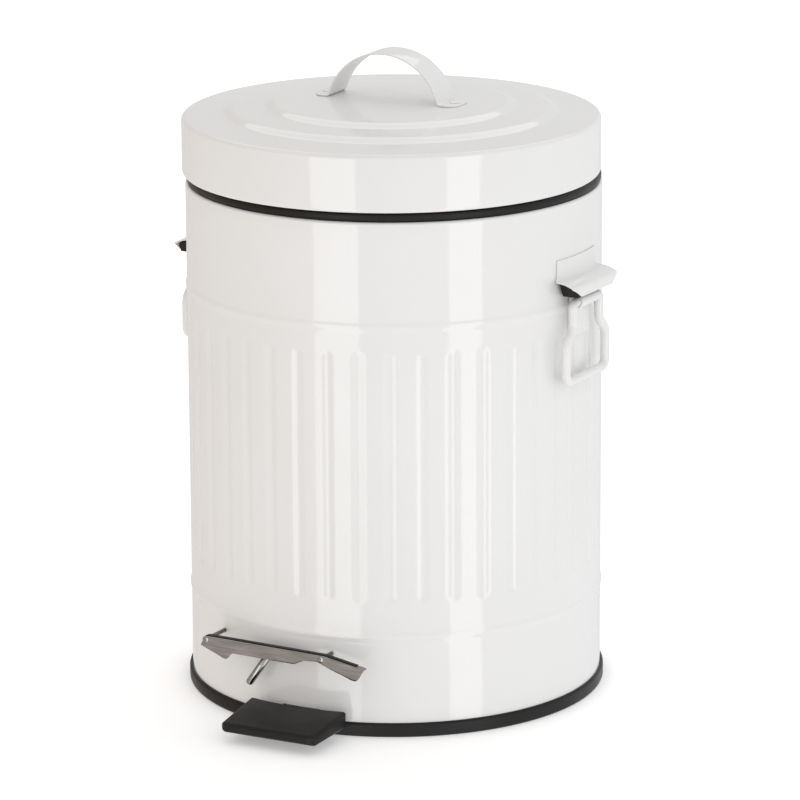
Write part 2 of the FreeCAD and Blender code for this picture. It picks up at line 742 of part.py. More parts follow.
def make_lid_shell():
    body = new_body("lid_shell")
    turned(body, "Revolution", *lid_face("0", "lid_bottom"))
    turned(body, "Groove", *lid_face("lid_sheet", "lid_bottom - overrun"))
    holes = new_sketch(body, "XY", "lid_edge + lid_crown + overrun")
    for side in ("", "-"):
        ring_line(holes, f"{side}(strap_half_span + strap_foot / 2)", "0", "rivet_shank + rivet_fit")
    cut_out(body, holes, "lid_crown + 2 * overrun")
    arm_holes = new_sketch(body, "XZ")
    arm_rivet_rings(arm_holes)
    cut_out(body, arm_holes, "lid_radius + overrun")
    bind(body, Placement__Base__y="-lid_forward")


def make_lid_handle():
    """An arched strap with a flat foot at each end that follows the dome."""
    body = new_body("lid_handle")
    foot = dome("strap_half_span", "-strap_seat")
    tip_x = "(strap_half_span + strap_foot)"
    tip = dome(tip_x, "-strap_seat")
    rise = f"(strap_top - strap_sheet - {foot})"
    inner = "(strap_half_span - strap_sheet)"
    arch = new_sketch(body, "XZ")
    draw(arch, (tip_x, tip), (tip_x, f"{tip} + strap_sheet"), ("strap_half_span", f"{foot} + strap_sheet"),
         ("-strap_half_span", f"{foot} + strap_sheet", bow("2 * strap_half_span", rise)),
         (f"-{tip_x}", f"{tip} + strap_sheet"), (f"-{tip_x}", tip), (f"-{inner}", foot),
         (inner, foot, f"-{bow(f'2 * {inner}', rise)}"))
    padded(body, arch, "strap_width", both_ways=True)
    holes = new_sketch(body, "XY", "strap_top")
    for side in ("", "-"):
        ring_line(holes, f"{side}(strap_half_span + strap_foot / 2)", "0", "rivet_shank + rivet_fit")
    cut_out(body, holes, f"strap_top - {foot} + overrun")
    bind(body, Placement__Base__y="-lid_forward")


def make_rivet(label, axis, head, shank, bottom, top, rise, x="0", y="0", z="0"):
    """A rivet along an axis: its shank from bottom to the head's seat at top, and the head."""
    place = {"x": x, "y": y, "z": z}
    names = f"{label}_shank", f"{label}_head"
    spans = (f"({bottom})", f"({top} + {rise})"), (f"({top})", f"({top} + {rise})")
    bars = []
    for name, radius, (low, high) in zip(names, (shank, head), spans):
        place[axis.lower()] = f"({low} + {high}) / 2"
        bars.append(cylinder(name, radius, f"abs({high} - {low})", axis, own=False, **place))
    rivet = doc.addObject("Part::MultiFuse", label)
    rivet.Shapes = bars
    return rivet


def make_rivets():
    across = "(strap_half_span + strap_foot / 2)"
    seat = f"({dome(f'({across} - strap_rivet_radius)')} + 2 * strap_seat + strap_sheet)"
    inside = f"({dome(across)} - lid_sheet - strap_rivet_rise)"
    strap = [make_rivet(f"strap_rivet{index}", "Z", "strap_rivet_radius", "rivet_shank", inside, seat,
                        "strap_rivet_rise", x=f"{side}{across}", y="-lid_forward")
             for index, side in enumerate(("", "-"))]
    group("lid_handle_rivets", strap)
    skirt = "(lid_radius - lid_forward + strap_seat)"
    arm = [make_rivet(f"arm_rivet{index}", "Y", "arm_rivet_radius", "rivet_shank",
                      f"{skirt} - lid_sheet - strap_rivet_rise", f"{skirt} + arm_plate_sheet + rivet_fit",
                      "strap_rivet_rise", x=f"{side}arm_rivet_span / 2",
                      z="(arm_plate_low + arm_plate_high) / 2")
           for index, side in enumerate(("", "-"))]
    group("lid_arm_rivets", arm)
    guide = [make_rivet(f"guide_rivet{index}", "Y", "guide_rivet_radius", "guide_rivet_shank",
                        "body_radius - guide_rivet_deep", "body_radius + rivet_fit", "strap_rivet_rise",
                        x=f"{side}guide_rivet_span / 2", z="guide_height + guide_tall / 2")
             for index, side in enumerate(("", "-"))]
    group("rod_guide_rivets", guide)


def make_inner_bucket():
    body = new_body("inner_bucket")
    low_rim = "(bucket_top - bucket_rim_tall)"
    turned(body, "Revolution", ("0", "floor_height"), ("bucket_floor_radius", "floor_height"),
           ("bucket_top_radius", low_rim), ("bucket_rim", low_rim), ("bucket_rim", "bucket_top"),
           ("0", "bucket_top"))
    base = "(floor_height + bucket_wall)"
    mouth = "(bucket_top_radius - bucket_wall)"
    turned(body, "Groove", ("0", base), ("bucket_floor_radius - bucket_wall", base), (mouth, low_rim),
           (mouth, "bucket_top + overrun"), ("0", "bucket_top + overrun"))
    for away in ("bucket_rim - ear_sheet", "-bucket_rim"):
        ear = new_sketch(body, "YZ", away)
        draw(ear, *box_outline("-ear_width / 2", "ear_width / 2", "bucket_top - bucket_rim_tall / 2",
                               "bucket_top + ear_tall"))
        padded(body, ear, "ear_sheet")
    bore = new_sketch(body, "YZ")
    ring_line(bore, "0", "bucket_top + ear_tall / 2", "bucket_bail_wire + turn_fit")
    cut_out(body, bore, "2 * (bucket_rim + overrun)", both_ways=True)


def make_bucket_bail():
    """A half ring of wire, folded down on the bucket's rim, with its ends in the ears."""
    level = "bucket_top + ear_tall / 2"
    hoop = doc.addObject("Part::Torus", "bucket_hoop")
    half_turn = FreeCAD.Rotation(FreeCAD.Vector(0, 0, 1), 2 * SQUARE_TURN)
    hoop.Placement = FreeCAD.Placement(FreeCAD.Vector(), half_turn)
    hoop.Angle3 = 2 * SQUARE_TURN
    bind(hoop, Radius1="bucket_bail_radius", Radius2="bucket_bail_wire", Placement__Base__z=level)
    length = "(bucket_rim + ear_sheet / 2 - bucket_bail_radius + bucket_bail_wire)"
    ends = [cylinder(f"bucket_bail_end{index}", "bucket_bail_wire", length, "X", own=False, z=level,
                     x=f"{side}(bucket_bail_radius - bucket_bail_wire + {length} / 2)")
            for index, side in enumerate(("", "-"))]
    group("bucket_bail", [hoop] + ends, "Part::MultiFuse")


def wall_band(half, inner, outer):
    """Outline of a sheet that lies round the shell between two radii, across a width, seen from above."""
    near = f"sqrt({inner} ^ 2 - ({half}) ^ 2)"
    far = f"sqrt({outer} ^ 2 - ({half}) ^ 2)"
    return (near, f"-{half}", f"-{inner}"), (far, f"-{half}"), (far, half, outer), (near, half)


def make_handle_bracket(label, turn):
    """A plate on the shell with a hood over the bail, and a tongue whose rolled knuckle holds the bail."""
    body = new_body(label)
    seat = "(body_radius + handle_seat)"
    plate = new_sketch(body, "XY", "plate_low")
    draw(plate, *wall_band("(plate_width / 2)", seat, f"({seat} + handle_sheet)"))
    padded(body, plate, "plate_high - plate_low")
    tongue = new_sketch(body, "XY", "tongue_low")
    draw(tongue, *wall_band("(tongue_width / 2)", "tongue_in", "tongue_out"))
    padded(body, tongue, "plate_low + handle_sheet - tongue_low")
    hood = new_sketch(body, "XZ")
    root = "(body_radius - hood_reach)"
    fold = "(body_radius + hood_reach)"
    fold_height = "(hood_root - hood_drop)"
    tip = f"({fold_height} - hood_lip_drop)"
    draw(hood, (root, "hood_root - handle_sheet"), ("body_radius", "hood_root - handle_sheet"),
         (f"{fold} - handle_sheet", f"{fold_height} - handle_sheet",
          f"-{bow('2 * (hood_reach - handle_sheet)', 'hood_drop')}"),
         (f"{fold} + hood_lip_reach - handle_sheet", tip), (f"{fold} + hood_lip_reach", tip),
         (fold, fold_height), ("body_radius", "hood_root", bow("2 * hood_reach", "hood_drop")),
         (root, "hood_root"))
    padded(body, hood, "hood_width", both_ways=True)
    for side in ("", "-"):
        corner = new_sketch(body, "YZ")
        past = f"{side}(hood_width / 2 + overrun)"
        draw(corner, (f"{side}hood_width / 2", fold_height), (past, fold_height), (past, f"{tip} - overrun"),
             (f"{side}(hood_width / 2 - hood_corner)", f"{tip} - overrun"),
             (f"{side}(hood_width / 2 - hood_corner)", tip))
        cut_out(body, corner, f"{fold} + hood_lip_reach + overrun", back=True)
    knuckle = new_sketch(body, "XZ")
    ring_line(knuckle, "axle_out", "bail_axle_height", "bail_knuckle")
    padded(body, knuckle, "tongue_width", both_ways=True)
    bore = new_sketch(body, "XZ")
    ring_line(bore, "axle_out", "bail_axle_height", "bail_wire + turn_fit")
    cut_out(body, bore, "tongue_width + overrun", both_ways=True)

    # The back follows the wall and steps over the upper bead.
    wall = new_sketch(body, "XY")
    ring_line(wall, "0", "0", seat)
    cut_out(body, wall, "2 * (plate_high + overrun)", both_ways=True)
    step = new_sketch(body, "XY", "bead_high + bead_width / 2 + handle_seat")
    ring_line(step, "0", "0", f"{seat} + bead_rise")
    cut_out(body, step, "bead_width + 2 * handle_seat")
    turn_about_z(body, turn)


def make_handle_bail(label, turn):
    """A closed loop of wire: narrow at the axle, flaring to a wide grip with round corners."""
    body = new_body(label)
    waist = "(bail_spread + bail_neck) / 2", "(bail_flare_top + bail_flare_low) / 2"
    path = new_sketch(body, "YZ", "axle_out")
    draw(path, ("0", "bail_low"), ("bail_spread - bail_corner", "bail_low"),
         ("bail_spread", "bail_low + bail_corner", "bail_corner"), ("bail_spread", "bail_flare_low"),
         (waist[0], waist[1], "bail_bend"), ("bail_neck", "bail_flare_top", "-bail_bend"),
         ("bail_neck", "bail_axle_height - bail_top_round"),
         ("bail_neck - bail_top_round", "bail_axle_height", "bail_top_round"),
         ("bail_top_round - bail_neck", "bail_axle_height"),
         ("-bail_neck", "bail_axle_height - bail_top_round", "bail_top_round"),
         ("-bail_neck", "bail_flare_top"),
         (f"-{waist[0]}", waist[1], "-bail_bend"), ("-bail_spread", "bail_flare_low", "bail_bend"),
         ("-bail_spread", "bail_low + bail_corner"),
         ("bail_corner - bail_spread", "bail_low", "bail_corner"))
    section = new_sketch(body, "XZ")
    ring_line(section, "axle_out", "bail_low", "bail_wire")
    pipe = body.newObject("PartDesign::AdditivePipe", f"{label}_pipe")
    pipe.Profile = section
    pipe.Spine = path
    turn_about_z(body, turn)


def make_handle_liner(label, turn):
    """A moulded block that fills the hood above the knuckle."""
    body = new_body(label)
    root = "(body_radius - hood_reach)"
    front = "(axle_out + liner_reach)"
    low = "(bail_axle_height + bail_knuckle + liner_gap)"
    top = "(hood_root - handle_sheet - handle_seat)"
    fall = f"(hood_drop * ({front} - body_radius) / (hood_reach - handle_sheet))"
    side = new_sketch(body, "XZ")
    draw(side, (root, low), (front, low), (front, f"{top} - {fall}"), ("body_radius", top), (root, top))
    padded(body, side, "liner_width", both_ways=True)
    wall = new_sketch(body, "XY")
    ring_line(wall, "0", "0", "tongue_out + handle_seat")
    cut_out(body, wall, "2 * (plate_high + overrun)", both_ways=True)
    turn_about_z(body, turn)


# Outline of the kick guard: share of its left or right reach, and share of its height above its lobes.
GUARD_LEFT_SHARES = ((0.957, 1.0), (1.0, 0.54), (0.84, 0.22), (0.70, 0.0))
GUARD_BAR_LEFT_SHARE = 0.62
GUARD_BAR_RIGHT_SHARE = 0.155
GUARD_RIGHT_SHARES = ((0.275, 0.63), (0.44, 0.68), (0.593, 0.43), (0.89, 0.0), (1.0, 0.66), (0.516, 1.0))
GUARD_PIN_SHARES = (-0.94, 0.48)


def guard_point(x_share, z_share):
    """A point of the guard; a negative share of the reach is on the left."""
    reach = "guard_right" if x_share > 0 else "guard_left"
    return f"{x_share} * {reach}", f"(guard_lobe_low + {z_share} * (guard_high - guard_lobe_low))"


def make_kick_guard():
    """A stamped plate with a folded lip along its top edge."""
    body = new_body("kick_guard")
    left = [guard_point(-share, high) for share, high in GUARD_LEFT_SHARES]
    right = [guard_point(*shares) for shares in GUARD_RIGHT_SHARES]
    plate = new_sketch(body, "XZ", "guard_stand")
    draw(plate, *left, (f"-{GUARD_BAR_LEFT_SHARE} * guard_left", "guard_bar_low"),
         (f"{GUARD_BAR_RIGHT_SHARE} * guard_right", "guard_bar_low"), *right)
    padded(body, plate, "guard_sheet")
    lip = new_sketch(body, "XZ", "guard_stand")
    draw(lip, *guard_edge("-guard_lip_tall", "0"))
    padded(body, lip, "guard_lip_deep", back=True)
    holes = new_sketch(body, "XZ", "guard_stand + overrun")
    for share in GUARD_PIN_SHARES:
        ring_line(holes, guard_point(share, 1)[0], "guard_pin_height", "guard_pin_radius + rivet_fit")
    cut_out(body, holes, "overrun + guard_lip_deep + guard_sheet")
    turn_about_z(body, "guard_turn")


def guard_edge(low, high):
    """A band along the guard's bent top edge, between two heights above that edge."""
    corners = guard_point(-GUARD_LEFT_SHARES[0][0], 1), guard_point(*GUARD_RIGHT_SHARES[-1])
    end = guard_point(*GUARD_RIGHT_SHARES[-2])
    line = (*corners, end)
    under = [(x, f"{z} + {low}") for x, z in line]
    over = [(x, f"{z} + {high}") for x, z in reversed(line)]
    return under + over


def make_kick_guard_backing():
    body = new_body("kick_guard_backing")
    strip = new_sketch(body, "XZ", "guard_stand")
    draw(strip, *guard_edge("guard_seat", "guard_seat + guard_strip_tall"))
    padded(body, strip, "guard_lip_deep", back=True)
    turn_about_z(body, "guard_turn")


def make_kick_guard_pins():
    pins = []
    for index, share in enumerate(GUARD_PIN_SHARES):
        across = guard_point(share, 1)[0]
        wall = f"(sqrt(body_radius ^ 2 - (abs({across}) - guard_pin_radius) ^ 2) + guard_seat)"
        front = "(guard_stand + guard_sheet + rivet_fit)"
        pins.append(make_rivet(f"guard_pin{index}", "Y", "guard_pin_head", "guard_pin_radius", f"-{wall}",
                               f"-{front}", "-guard_pin_proud", x=across, z="guard_pin_height"))
    turn_about_z(group("kick_guard_pins", pins), "guard_turn")


def make_kick_guard_peg():
    """A slanting peg on the back of the guard."""
    peg = doc.addObject("Part::Cylinder", "peg_bar")
    lean = FreeCAD.Rotation(FreeCAD.Vector(0, 1, 0), SQUARE_TURN / 2)
    peg.Placement = FreeCAD.Placement(FreeCAD.Vector(), lean)
    bind(peg, Radius="peg_radius", Height="sqrt(peg_lean ^ 2 + (peg_top - peg_tip) ^ 2)",
         Placement__Rotation__Angle="atan2(peg_lean; peg_top - peg_tip)",
         Placement__Base__x="-peg_side - peg_lean", Placement__Base__z="peg_tip",
         Placement__Base__y="peg_radius + guard_seat - guard_stand")
    turn_about_z(group("kick_guard_peg", [peg]), "guard_turn")


def main():
    fill_sheet()
    make_body_shell()
    make_base_moulding()
    make_rim_ring()
    make_lid_shell()
    make_lid_handle()
    make_lid_hinge_arm()
    make_rivets()
    cylinder("hinge_pin", "hinge_pin_radius", "2 * (notch_half + hinge_lug + ring_fit)", "X",
             y="hinge_back", z="hinge_height")
    make_push_rod()
    make_rod_guide()
    make_pedal_lever()
    make_pedal_pad()
    pin_long = "2 * (lever_width / 2 + lever_side_gap + lug_sheet + lever_play / 2)"
    cylinder("pedal_pivot_pin", "pivot_radius", pin_long, "X", y="-pivot_front", z="pivot_height")
    make_inner_bucket()
    make_bucket_bail()
    for side, turn in (("right", "handle_turn"), ("left", f"{2 * SQUARE_TURN}")):
        make_handle_bracket(f"{side}_handle_bracket", turn)
        make_handle_bail(f"{side}_handle_bail", turn)
        make_handle_liner(f"{side}_handle_liner", turn)
    make_kick_guard()
    make_kick_guard_backing()
    make_kick_guard_pins()
    make_kick_guard_peg()
    doc.recompute()
    check()
    export()


def check():
    """Every object has to be computed, and every sub-part a sound solid."""
    for item in doc.Objects:
        if "Invalid" in item.State or "Error" in item.State:
            raise RuntimeError(f"{item.Label} failed: {item.State}")
    for item in parts:
        if item.Shape.isNull() or not item.Shape.isValid() or not item.Shape.Solids:
            raise RuntimeError(f"{item.Label} is not a sound solid")


def export():
    os.makedirs("parts", exist_ok=True)
    for item in parts:
        item.Shape.exportStep(f"parts/{item.Label}.step")


main()
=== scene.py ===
import json
from math import asin, cos, pi, radians, sin, tan

import bmesh
import bpy
import numpy as np
from mathutils import Matrix, Vector

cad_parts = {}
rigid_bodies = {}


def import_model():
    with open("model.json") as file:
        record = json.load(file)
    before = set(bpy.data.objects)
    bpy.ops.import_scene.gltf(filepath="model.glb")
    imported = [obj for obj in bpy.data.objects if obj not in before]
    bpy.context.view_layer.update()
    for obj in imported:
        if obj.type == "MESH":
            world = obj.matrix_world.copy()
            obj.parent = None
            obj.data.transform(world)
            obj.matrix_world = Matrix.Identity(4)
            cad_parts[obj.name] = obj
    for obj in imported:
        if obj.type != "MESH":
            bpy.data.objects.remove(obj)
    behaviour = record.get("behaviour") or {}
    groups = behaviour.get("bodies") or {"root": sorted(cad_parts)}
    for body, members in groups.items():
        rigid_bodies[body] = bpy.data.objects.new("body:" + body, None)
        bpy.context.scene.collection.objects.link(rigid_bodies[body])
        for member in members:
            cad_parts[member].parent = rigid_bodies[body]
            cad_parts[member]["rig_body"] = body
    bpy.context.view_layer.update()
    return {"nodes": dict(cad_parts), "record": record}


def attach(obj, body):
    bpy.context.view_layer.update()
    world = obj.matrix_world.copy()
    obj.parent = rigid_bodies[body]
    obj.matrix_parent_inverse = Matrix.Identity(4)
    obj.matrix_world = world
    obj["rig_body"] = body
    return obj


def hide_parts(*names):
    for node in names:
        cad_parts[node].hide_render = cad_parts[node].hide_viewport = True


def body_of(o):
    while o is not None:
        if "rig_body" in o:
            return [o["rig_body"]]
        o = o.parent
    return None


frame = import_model()

# A round white steel pedal bin with a fluted wall, a lid with two pressed rings, drop handles, a
# kick guard and a black pedal.
# The pieces' lengths are in millimetres, as in the part's own drawing, and MM turns them into Blender's metres.
# Round pieces are drawn by their bearing, which is zero towards the pedal and grows to the right.

MM = 0.001
SEAT = 0.05  # clearance between a piece and what it sits on
MERGE = 1e-6  # points closer than this are one
EDGE_ANGLE = radians(40)  # steeper edges are broken

# shell
BODY_RADIUS = 102.5
BODY_TOP = 254.5
BODY_LOW = 3.0
SHEET = 0.6
RIM_ROLL = 1.4
BEAD_HEIGHTS = (50.2, 203.5)
BEAD_WIDTH = 6.4
BEAD_RISE = 0.55
FLUTE_COUNT = 42
FLUTE_LOW, FLUTE_HIGH = 66.5, 192.5
FLUTE_WIDTH = 7.8
FLUTE_DEPTH = 0.65
SLOT_HALF, SLOT_LOW, SLOT_TOP = 10.2, 6.2, 11.9
NOTCH_HALF, NOTCH_LOW = 5.05, 245.5
SHELL_EDGE = 0.15

# lid
LID_RADIUS = 102.8
LID_LOW = 259.6
LID_EDGE = 287.4
LID_ROUND = 2.2
LID_CROWN = 4.2
LID_CURL, LID_CURL_TALL = 1.0, 2.0
LID_FORWARD = 2.5
LID_STEPS = (80.0, 59.3)
LID_STEP_WIDTH = 6.5
LID_STEP_RISE = 1.7

# strap handle on the lid
STRAP_TOP = 318.49
STRAP_HALF = 29.9
STRAP_FOOT = 9.0
STRAP_TIP_ROUND = 6.0
STRAP_ARC = radians(70.0)
STRAP_WIDTH = 19.0
STRAP_SHEET = 0.9
STRAP_BEND = 1.6
STRAP_CORNER_SHARE = 0.98  # of half the sheet, for the round of the strap's long edges
STRAP_RIVET, STRAP_RIVET_OUT, STRAP_RIVET_RISE, STRAP_RIVET_RIM = 2.6, 34.6, 0.4, 0.08
STRAP_RIVET_SHANK, STRAP_RIVET_DEPTH = 1.4, 1.5

# drop handles
HANDLE_TURNS = {"right": radians(-3.0), "left": radians(180.0)}
AXLE_OUT, AXLE_HEIGHT = 106.75, 206.0
BAIL_WIRE = 2.3
BAIL_NECK, BAIL_SPREAD, BAIL_LOW = 13.4, 20.2, 168.0
BAIL_BENDS = {"top": 3.2, "waist": 8.0, "corner": 4.5}
BAIL_WAIST = (192.42, 187.58)
PLATE_HALF, PLATE_OUT, PLATE_HIGH = 19.5, 103.35, 227.5
BRACKET_SHEET = 0.8
HOOD_HALF, HOOD_ROOT, HOOD_BEND = 22.5, 218.0, 2.0
HOOD_FOLD, HOOD_DROP = 112.5, 2.8
LIP_REACH, LIP_DROP, LIP_CORNER = 0.6, 4.6, 7.0
FOLD_START, FOLD_END = 0.84, 0.3  # shares of the hood and of the lip where the fold between them begins and ends
HOOD_EDGE = 0.25
TONGUE_HALF, TONGUE_OUT, TONGUE_SHEET = 9.5, 104.25, 1.25
TONGUE_LOW, TONGUE_HIGH = 188.0, 212.5
TONGUE_ROUND, TONGUE_EDGE = 3.0, 0.03
KNUCKLE, KNUCKLE_ROUND = 3.3, 0.3
KNUCKLE_BORE, KNUCKLE_BORE_ROUND = 2.36, 0.2
# black blocks under the hoods: painted shade, standing in for the deep shade under each hood
SHADE_BLOCK_HALF, SHADE_BLOCK_TAPER = 19.8, 3.0
SHADE_BLOCK_LOW, SHADE_BLOCK_HIGH, SHADE_BLOCK_FALL, SHADE_BLOCK_FRONT = 209.8, 217.1, 2.8, 111.5
SHADE_BLOCK_ROUND, SHADE_BLOCK_EDGE = 0.3, 0.2

# pedal pad
PAD_FRONT, PAD_HALF = 137.0, 26.5
PAD_WALL = 108.0
PAD_LOW, PAD_NOSE_TOP = 5.4, 10.4
PAD_TILT = radians(7.0)
PAD_END_ROUND = 2.0
PAD_CORNER_ROUNDS = (2.0, 1.0, 0.7, 2.0)  # front low, back low, back top, front top
PAD_LEAST_ROUND = 0.02
PAD_FRONT_ROUND = 4.2

# kick guard
GUARD_TURN = radians(-3.0)
GUARD_STAND = 110.0
GUARD_SHEET = 1.0
GUARD_LIP, GUARD_LIP_STEP = 2.6, 0.8
GUARD_BEND, GUARD_BEND_SHARE = 0.9, 0.6
GUARD_WALL, GUARD_END = 0.7, 0.5
GUARD_TOP = ((-47, 36.4), (-46, 38.4), (-44.6, 42.0), (-43, 42.6), (23.5, 42.6), (45.5, 39.2), (46.5, 39.0))
GUARD_LOW = ((-47, 38.0), (-46, 37.8), (-38.6, 34.8), (-33.6, 32.6), (-31.0, 32.8), (-28.8, 35.9), (-27.5, 36.2),
             (7.0, 36.2), (12.5, 38.9), (20.0, 39.4), (27.0, 36.9), (38.5, 32.9), (41.0, 32.7), (42.6, 33.6),
             (45.5, 38.4), (46.5, 39.0))
GUARD_EASE = 0.9
GUARD_STATIONS = ((-46, -44, 9), (-43.6, 44.4, 141), (44.6, 45.5, 6))  # from, to and count of the samples along it
GUARD_LOBES, GUARD_DISH = ((-36, 17), (37, 20)), 0.55  # middle and width of each lobe, and how deep it is dished
# the black strip along the guard's top edge is painted shade for the gap between its fold and the shell
STRIP_ENDS, STRIP_TALL, STRIP_ROUND = (-44.0, 41.0), 0.4, 0.18
PEG_TOP, PEG_TIP = (-7.7, 39.5), (-21.0, 21.0)
PEG_RADIUS = 1.9
PIN_PLACES, PIN_HEIGHT = (-43.24, 21.84), 40.9
PIN_SHANK, PIN_HEAD, PIN_PROUD, PIN_RIM = 1.1, 1.75, 0.6, 0.12

# pieces that keep the CAD's shape, with the width of their broken edges
KEPT_EDGES = {"base_moulding": 0.0, "rim_ring": 0.0, "inner_bucket": 0.0, "pedal_lever": 0.2, "lid_hinge_arm": 0.2,
              "bucket_bail": 0.0, "lid_arm_rivets": 0.2, "rod_guide_rivets": 0.2, "hinge_pin": 0.15,
              "push_rod": 0.15, "rod_guide": 0.2, "pedal_pivot_pin": 0.15}
KEPT_FLAT, KEPT_SHARP = radians(0.4), radians(28)  # flatter faces are joined, and steeper edges stay sharp

# floor and light, in metres
VIEW_TURN = radians(27.0)
FLOOR_HALF, FLOOR_GREY, FLOOR_ROUGHNESS, FLOOR_GLOW = 6.0, 0.9, 0.9, 0.3
LAMP_STRIPS = (("left_strip", -31.0, 0.56), ("right_strip", 37.8, 0.42))  # angle from the camera, and width
LAMP_STRIP_AWAY, LAMP_STRIP_MIDDLE, LAMP_STRIP_TALL, LAMP_STRIP_RADIANCE = 1.3, -0.35, 1.5, 2.0
CEILING_AWAY, CEILING_HEIGHT, CEILING_SIZE, CEILING_RADIANCE = 1.32, 1.6, (1.84, 2.05), 0.8
CEILING_LEAN = 0.0004  # towards the camera, so that the box hangs square to the view
WARM, COOL = (0.69, 0.60, 0.535, 1), (0.985, 0.992, 1.0, 1)
WARM_END, COOL_START = -1, 0.1
FRONT_RANGE, FRONT_GAIN = (-1, 0.8), (0.78, 1.3)
UP_RANGE, UP_GAIN = (0, 1), (1.0, 0.7)

# camera, in metres and radians, its sensor and lens in millimetres
CAMERA_SENSOR, CAMERA_LENS, CAMERA_SHIFT = 36.0, 209.4, (0.0064, -0.0467)
CAMERA_AWAY, CAMERA_HEIGHT, CAMERA_TILT, CAMERA_ROLL = 2.2384, 0.73335, 0.2505, -0.0055


# Mesh helpers

def stops(start, *legs):
    """Samples along a line: from the start to each leg's end in that leg's number of even steps."""
    line = [np.array([start])]
    for end, count in legs:
        line.append(np.linspace(line[-1][-1], end, count + 1)[1:])
    return np.concatenate(line)


def grid_quads(rows, columns, round_rows=False, round_columns=False):
    """Four-sided faces of a grid of points, closed on itself where it goes all the way round."""
    row, column = np.meshgrid(np.arange(rows if round_rows else rows - 1),
                              np.arange(columns if round_columns else columns - 1), indexing="ij")
    up, on = (row + 1) % rows, (column + 1) % columns
    corners = (row * columns + column, row * columns + on, up * columns + on, up * columns + column)
    return np.stack(corners, axis=-1)


def end_caps(rows, columns):
    """The first and the last ring of a grid of points, as one face each."""
    first = np.arange(columns)[None]
    return first, first + (rows - 1) * columns


def swell(distance, width):
    """A raised cosine: one at no distance, level at zero from half the width on."""
    return 0.5 + 0.5 * np.cos(pi * np.clip(np.abs(distance) / (width / 2), 0.0, 1.0))


def new_piece(name, *surfaces, outward=False):
    """One mesh from surfaces, each its points and its sets of faces, with doubled points merged and smooth
    shading."""
    points, faces, start = [], [], 0
    for corners, *loops in surfaces:
        corners = np.reshape(corners, (-1, 3))
        points.append(corners * MM)
        for loop in loops:
            faces += (np.reshape(loop, (-1, np.shape(loop)[-1])) + start).tolist()
        start += len(corners)
    mesh = bpy.data.meshes.new(name)
    mesh.from_pydata(np.concatenate(points).tolist(), [], faces)
    sheet = bmesh.new()
    sheet.from_mesh(mesh)
    bmesh.ops.remove_doubles(sheet, verts=sheet.verts, dist=MERGE)
    if outward:
        bmesh.ops.recalc_face_normals(sheet, faces=sheet.faces)
    sheet.to_mesh(mesh)
    sheet.free()
    mesh.polygons.foreach_set("use_smooth", np.ones(len(mesh.polygons), bool))
    piece = bpy.data.objects.new(name, mesh)
    bpy.context.scene.collection.objects.link(piece)
    return piece


def settle(piece, body, finish, *nodes):
    """Gives a piece its finish, sets it on its body and lets it stand for CAD nodes."""
    piece.data.materials.append(FINISHES[finish])
    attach(piece, body)
    if nodes:
        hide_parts(*nodes)


def thicken(piece, sheet):
    """A wall of that sheet, inwards from the drawn face."""
    wall = piece.modifiers.new("wall", "SOLIDIFY")
    wall.thickness = sheet * MM
    wall.offset = -1.0


def break_edges(piece, width):
    """Steep edges rounded off on a small arc of that width."""
    rounding = piece.modifiers.new("broken_edges", "BEVEL")
    rounding.width = width * MM
    rounding.segments = 2
    rounding.limit_method = "ANGLE"
    rounding.angle_limit = EDGE_ANGLE
    rounding.harden_normals = True


def round_points(radius, bearing, height):
    """Points at a distance from the bin's middle, at a bearing and a height."""
    return np.stack(np.broadcast_arrays(radius * np.sin(bearing), -radius * np.cos(bearing), height), axis=-1)


def corner_path(corners, steps=8, closed=False):
    """A flat line through corners given as (across, up, radius), each corner turned into an arc."""
    corners = np.array(corners, float)
    count = len(corners)
    line = []
    for index, (across, up, radius) in enumerate(corners):
        here = np.array([across, up])
        if radius <= 0 or (not closed and index in (0, count - 1)):
            line.append(here[None])
            continue
        before = corners[index - 1, :2] - here
        after = corners[(index + 1) % count, :2] - here
        before, after = before / np.hypot(*before), after / np.hypot(*after)
        half = np.arccos(np.clip(before @ after, -1, 1)) / 2
        middle = here + (before + after) / np.hypot(*(before + after)) * radius / sin(half)
        start = here + before * radius / tan(half) - middle
        stop = here + after * radius / tan(half) - middle
        share = np.linspace(0, 1, steps + 1)[:, None]
        turn = pi - 2 * half
        line.append(middle + (np.sin((1 - share) * turn) * start + np.sin(share * turn) * stop) / sin(turn))
    line = np.concatenate(line)
    apart = np.linalg.norm(line - np.roll(line, 1, axis=0), axis=1) > MERGE
    return line[apart]


def tangents(line, closed):
    """Unit directions along a flat line, from the points on each side."""
    ahead, behind = np.roll(line, -1, axis=0), np.roll(line, 1, axis=0)
    if not closed:
        ahead[-1], behind[0] = line[-1], line[0]
    step = ahead - behind
    return step / np.linalg.norm(step, axis=1, keepdims=True)


# Finishes

def shader_group(name, inputs, outputs):
    """A node group with named number inputs and outputs; gives back its tree, entry and exit nodes."""
    tree = bpy.data.node_groups.new(name, "ShaderNodeTree")
    for label, value in inputs.items():
        tree.interface.new_socket(label, in_out="INPUT", socket_type="NodeSocketFloat").default_value = value
    for label in outputs:
        tree.interface.new_socket(label, in_out="OUTPUT", socket_type="NodeSocketFloat")
    return tree, tree.nodes.new("NodeGroupInput"), tree.nodes.new("NodeGroupOutput")


def add_noise(tree, scale_from, detail, stretch=None):
    """A noise texture on Object coordinates, its scale taken from a socket, stretched along an axis if asked."""
    place = tree.nodes.new("ShaderNodeTexCoord")
    noise = tree.nodes.new("ShaderNodeTexNoise")
    noise.inputs["Detail"].default_value = detail
    tree.links.new(scale_from, noise.inputs["Scale"])
    if stretch is None:
        tree.links.new(place.outputs["Object"], noise.inputs["Vector"])
    else:
        mapping = tree.nodes.new("ShaderNodeMapping")
        mapping.inputs["Scale"].default_value = stretch
        tree.links.new(place.outputs["Object"], mapping.inputs["Vector"])
        tree.links.new(mapping.outputs["Vector"], noise.inputs["Vector"])
    return noise


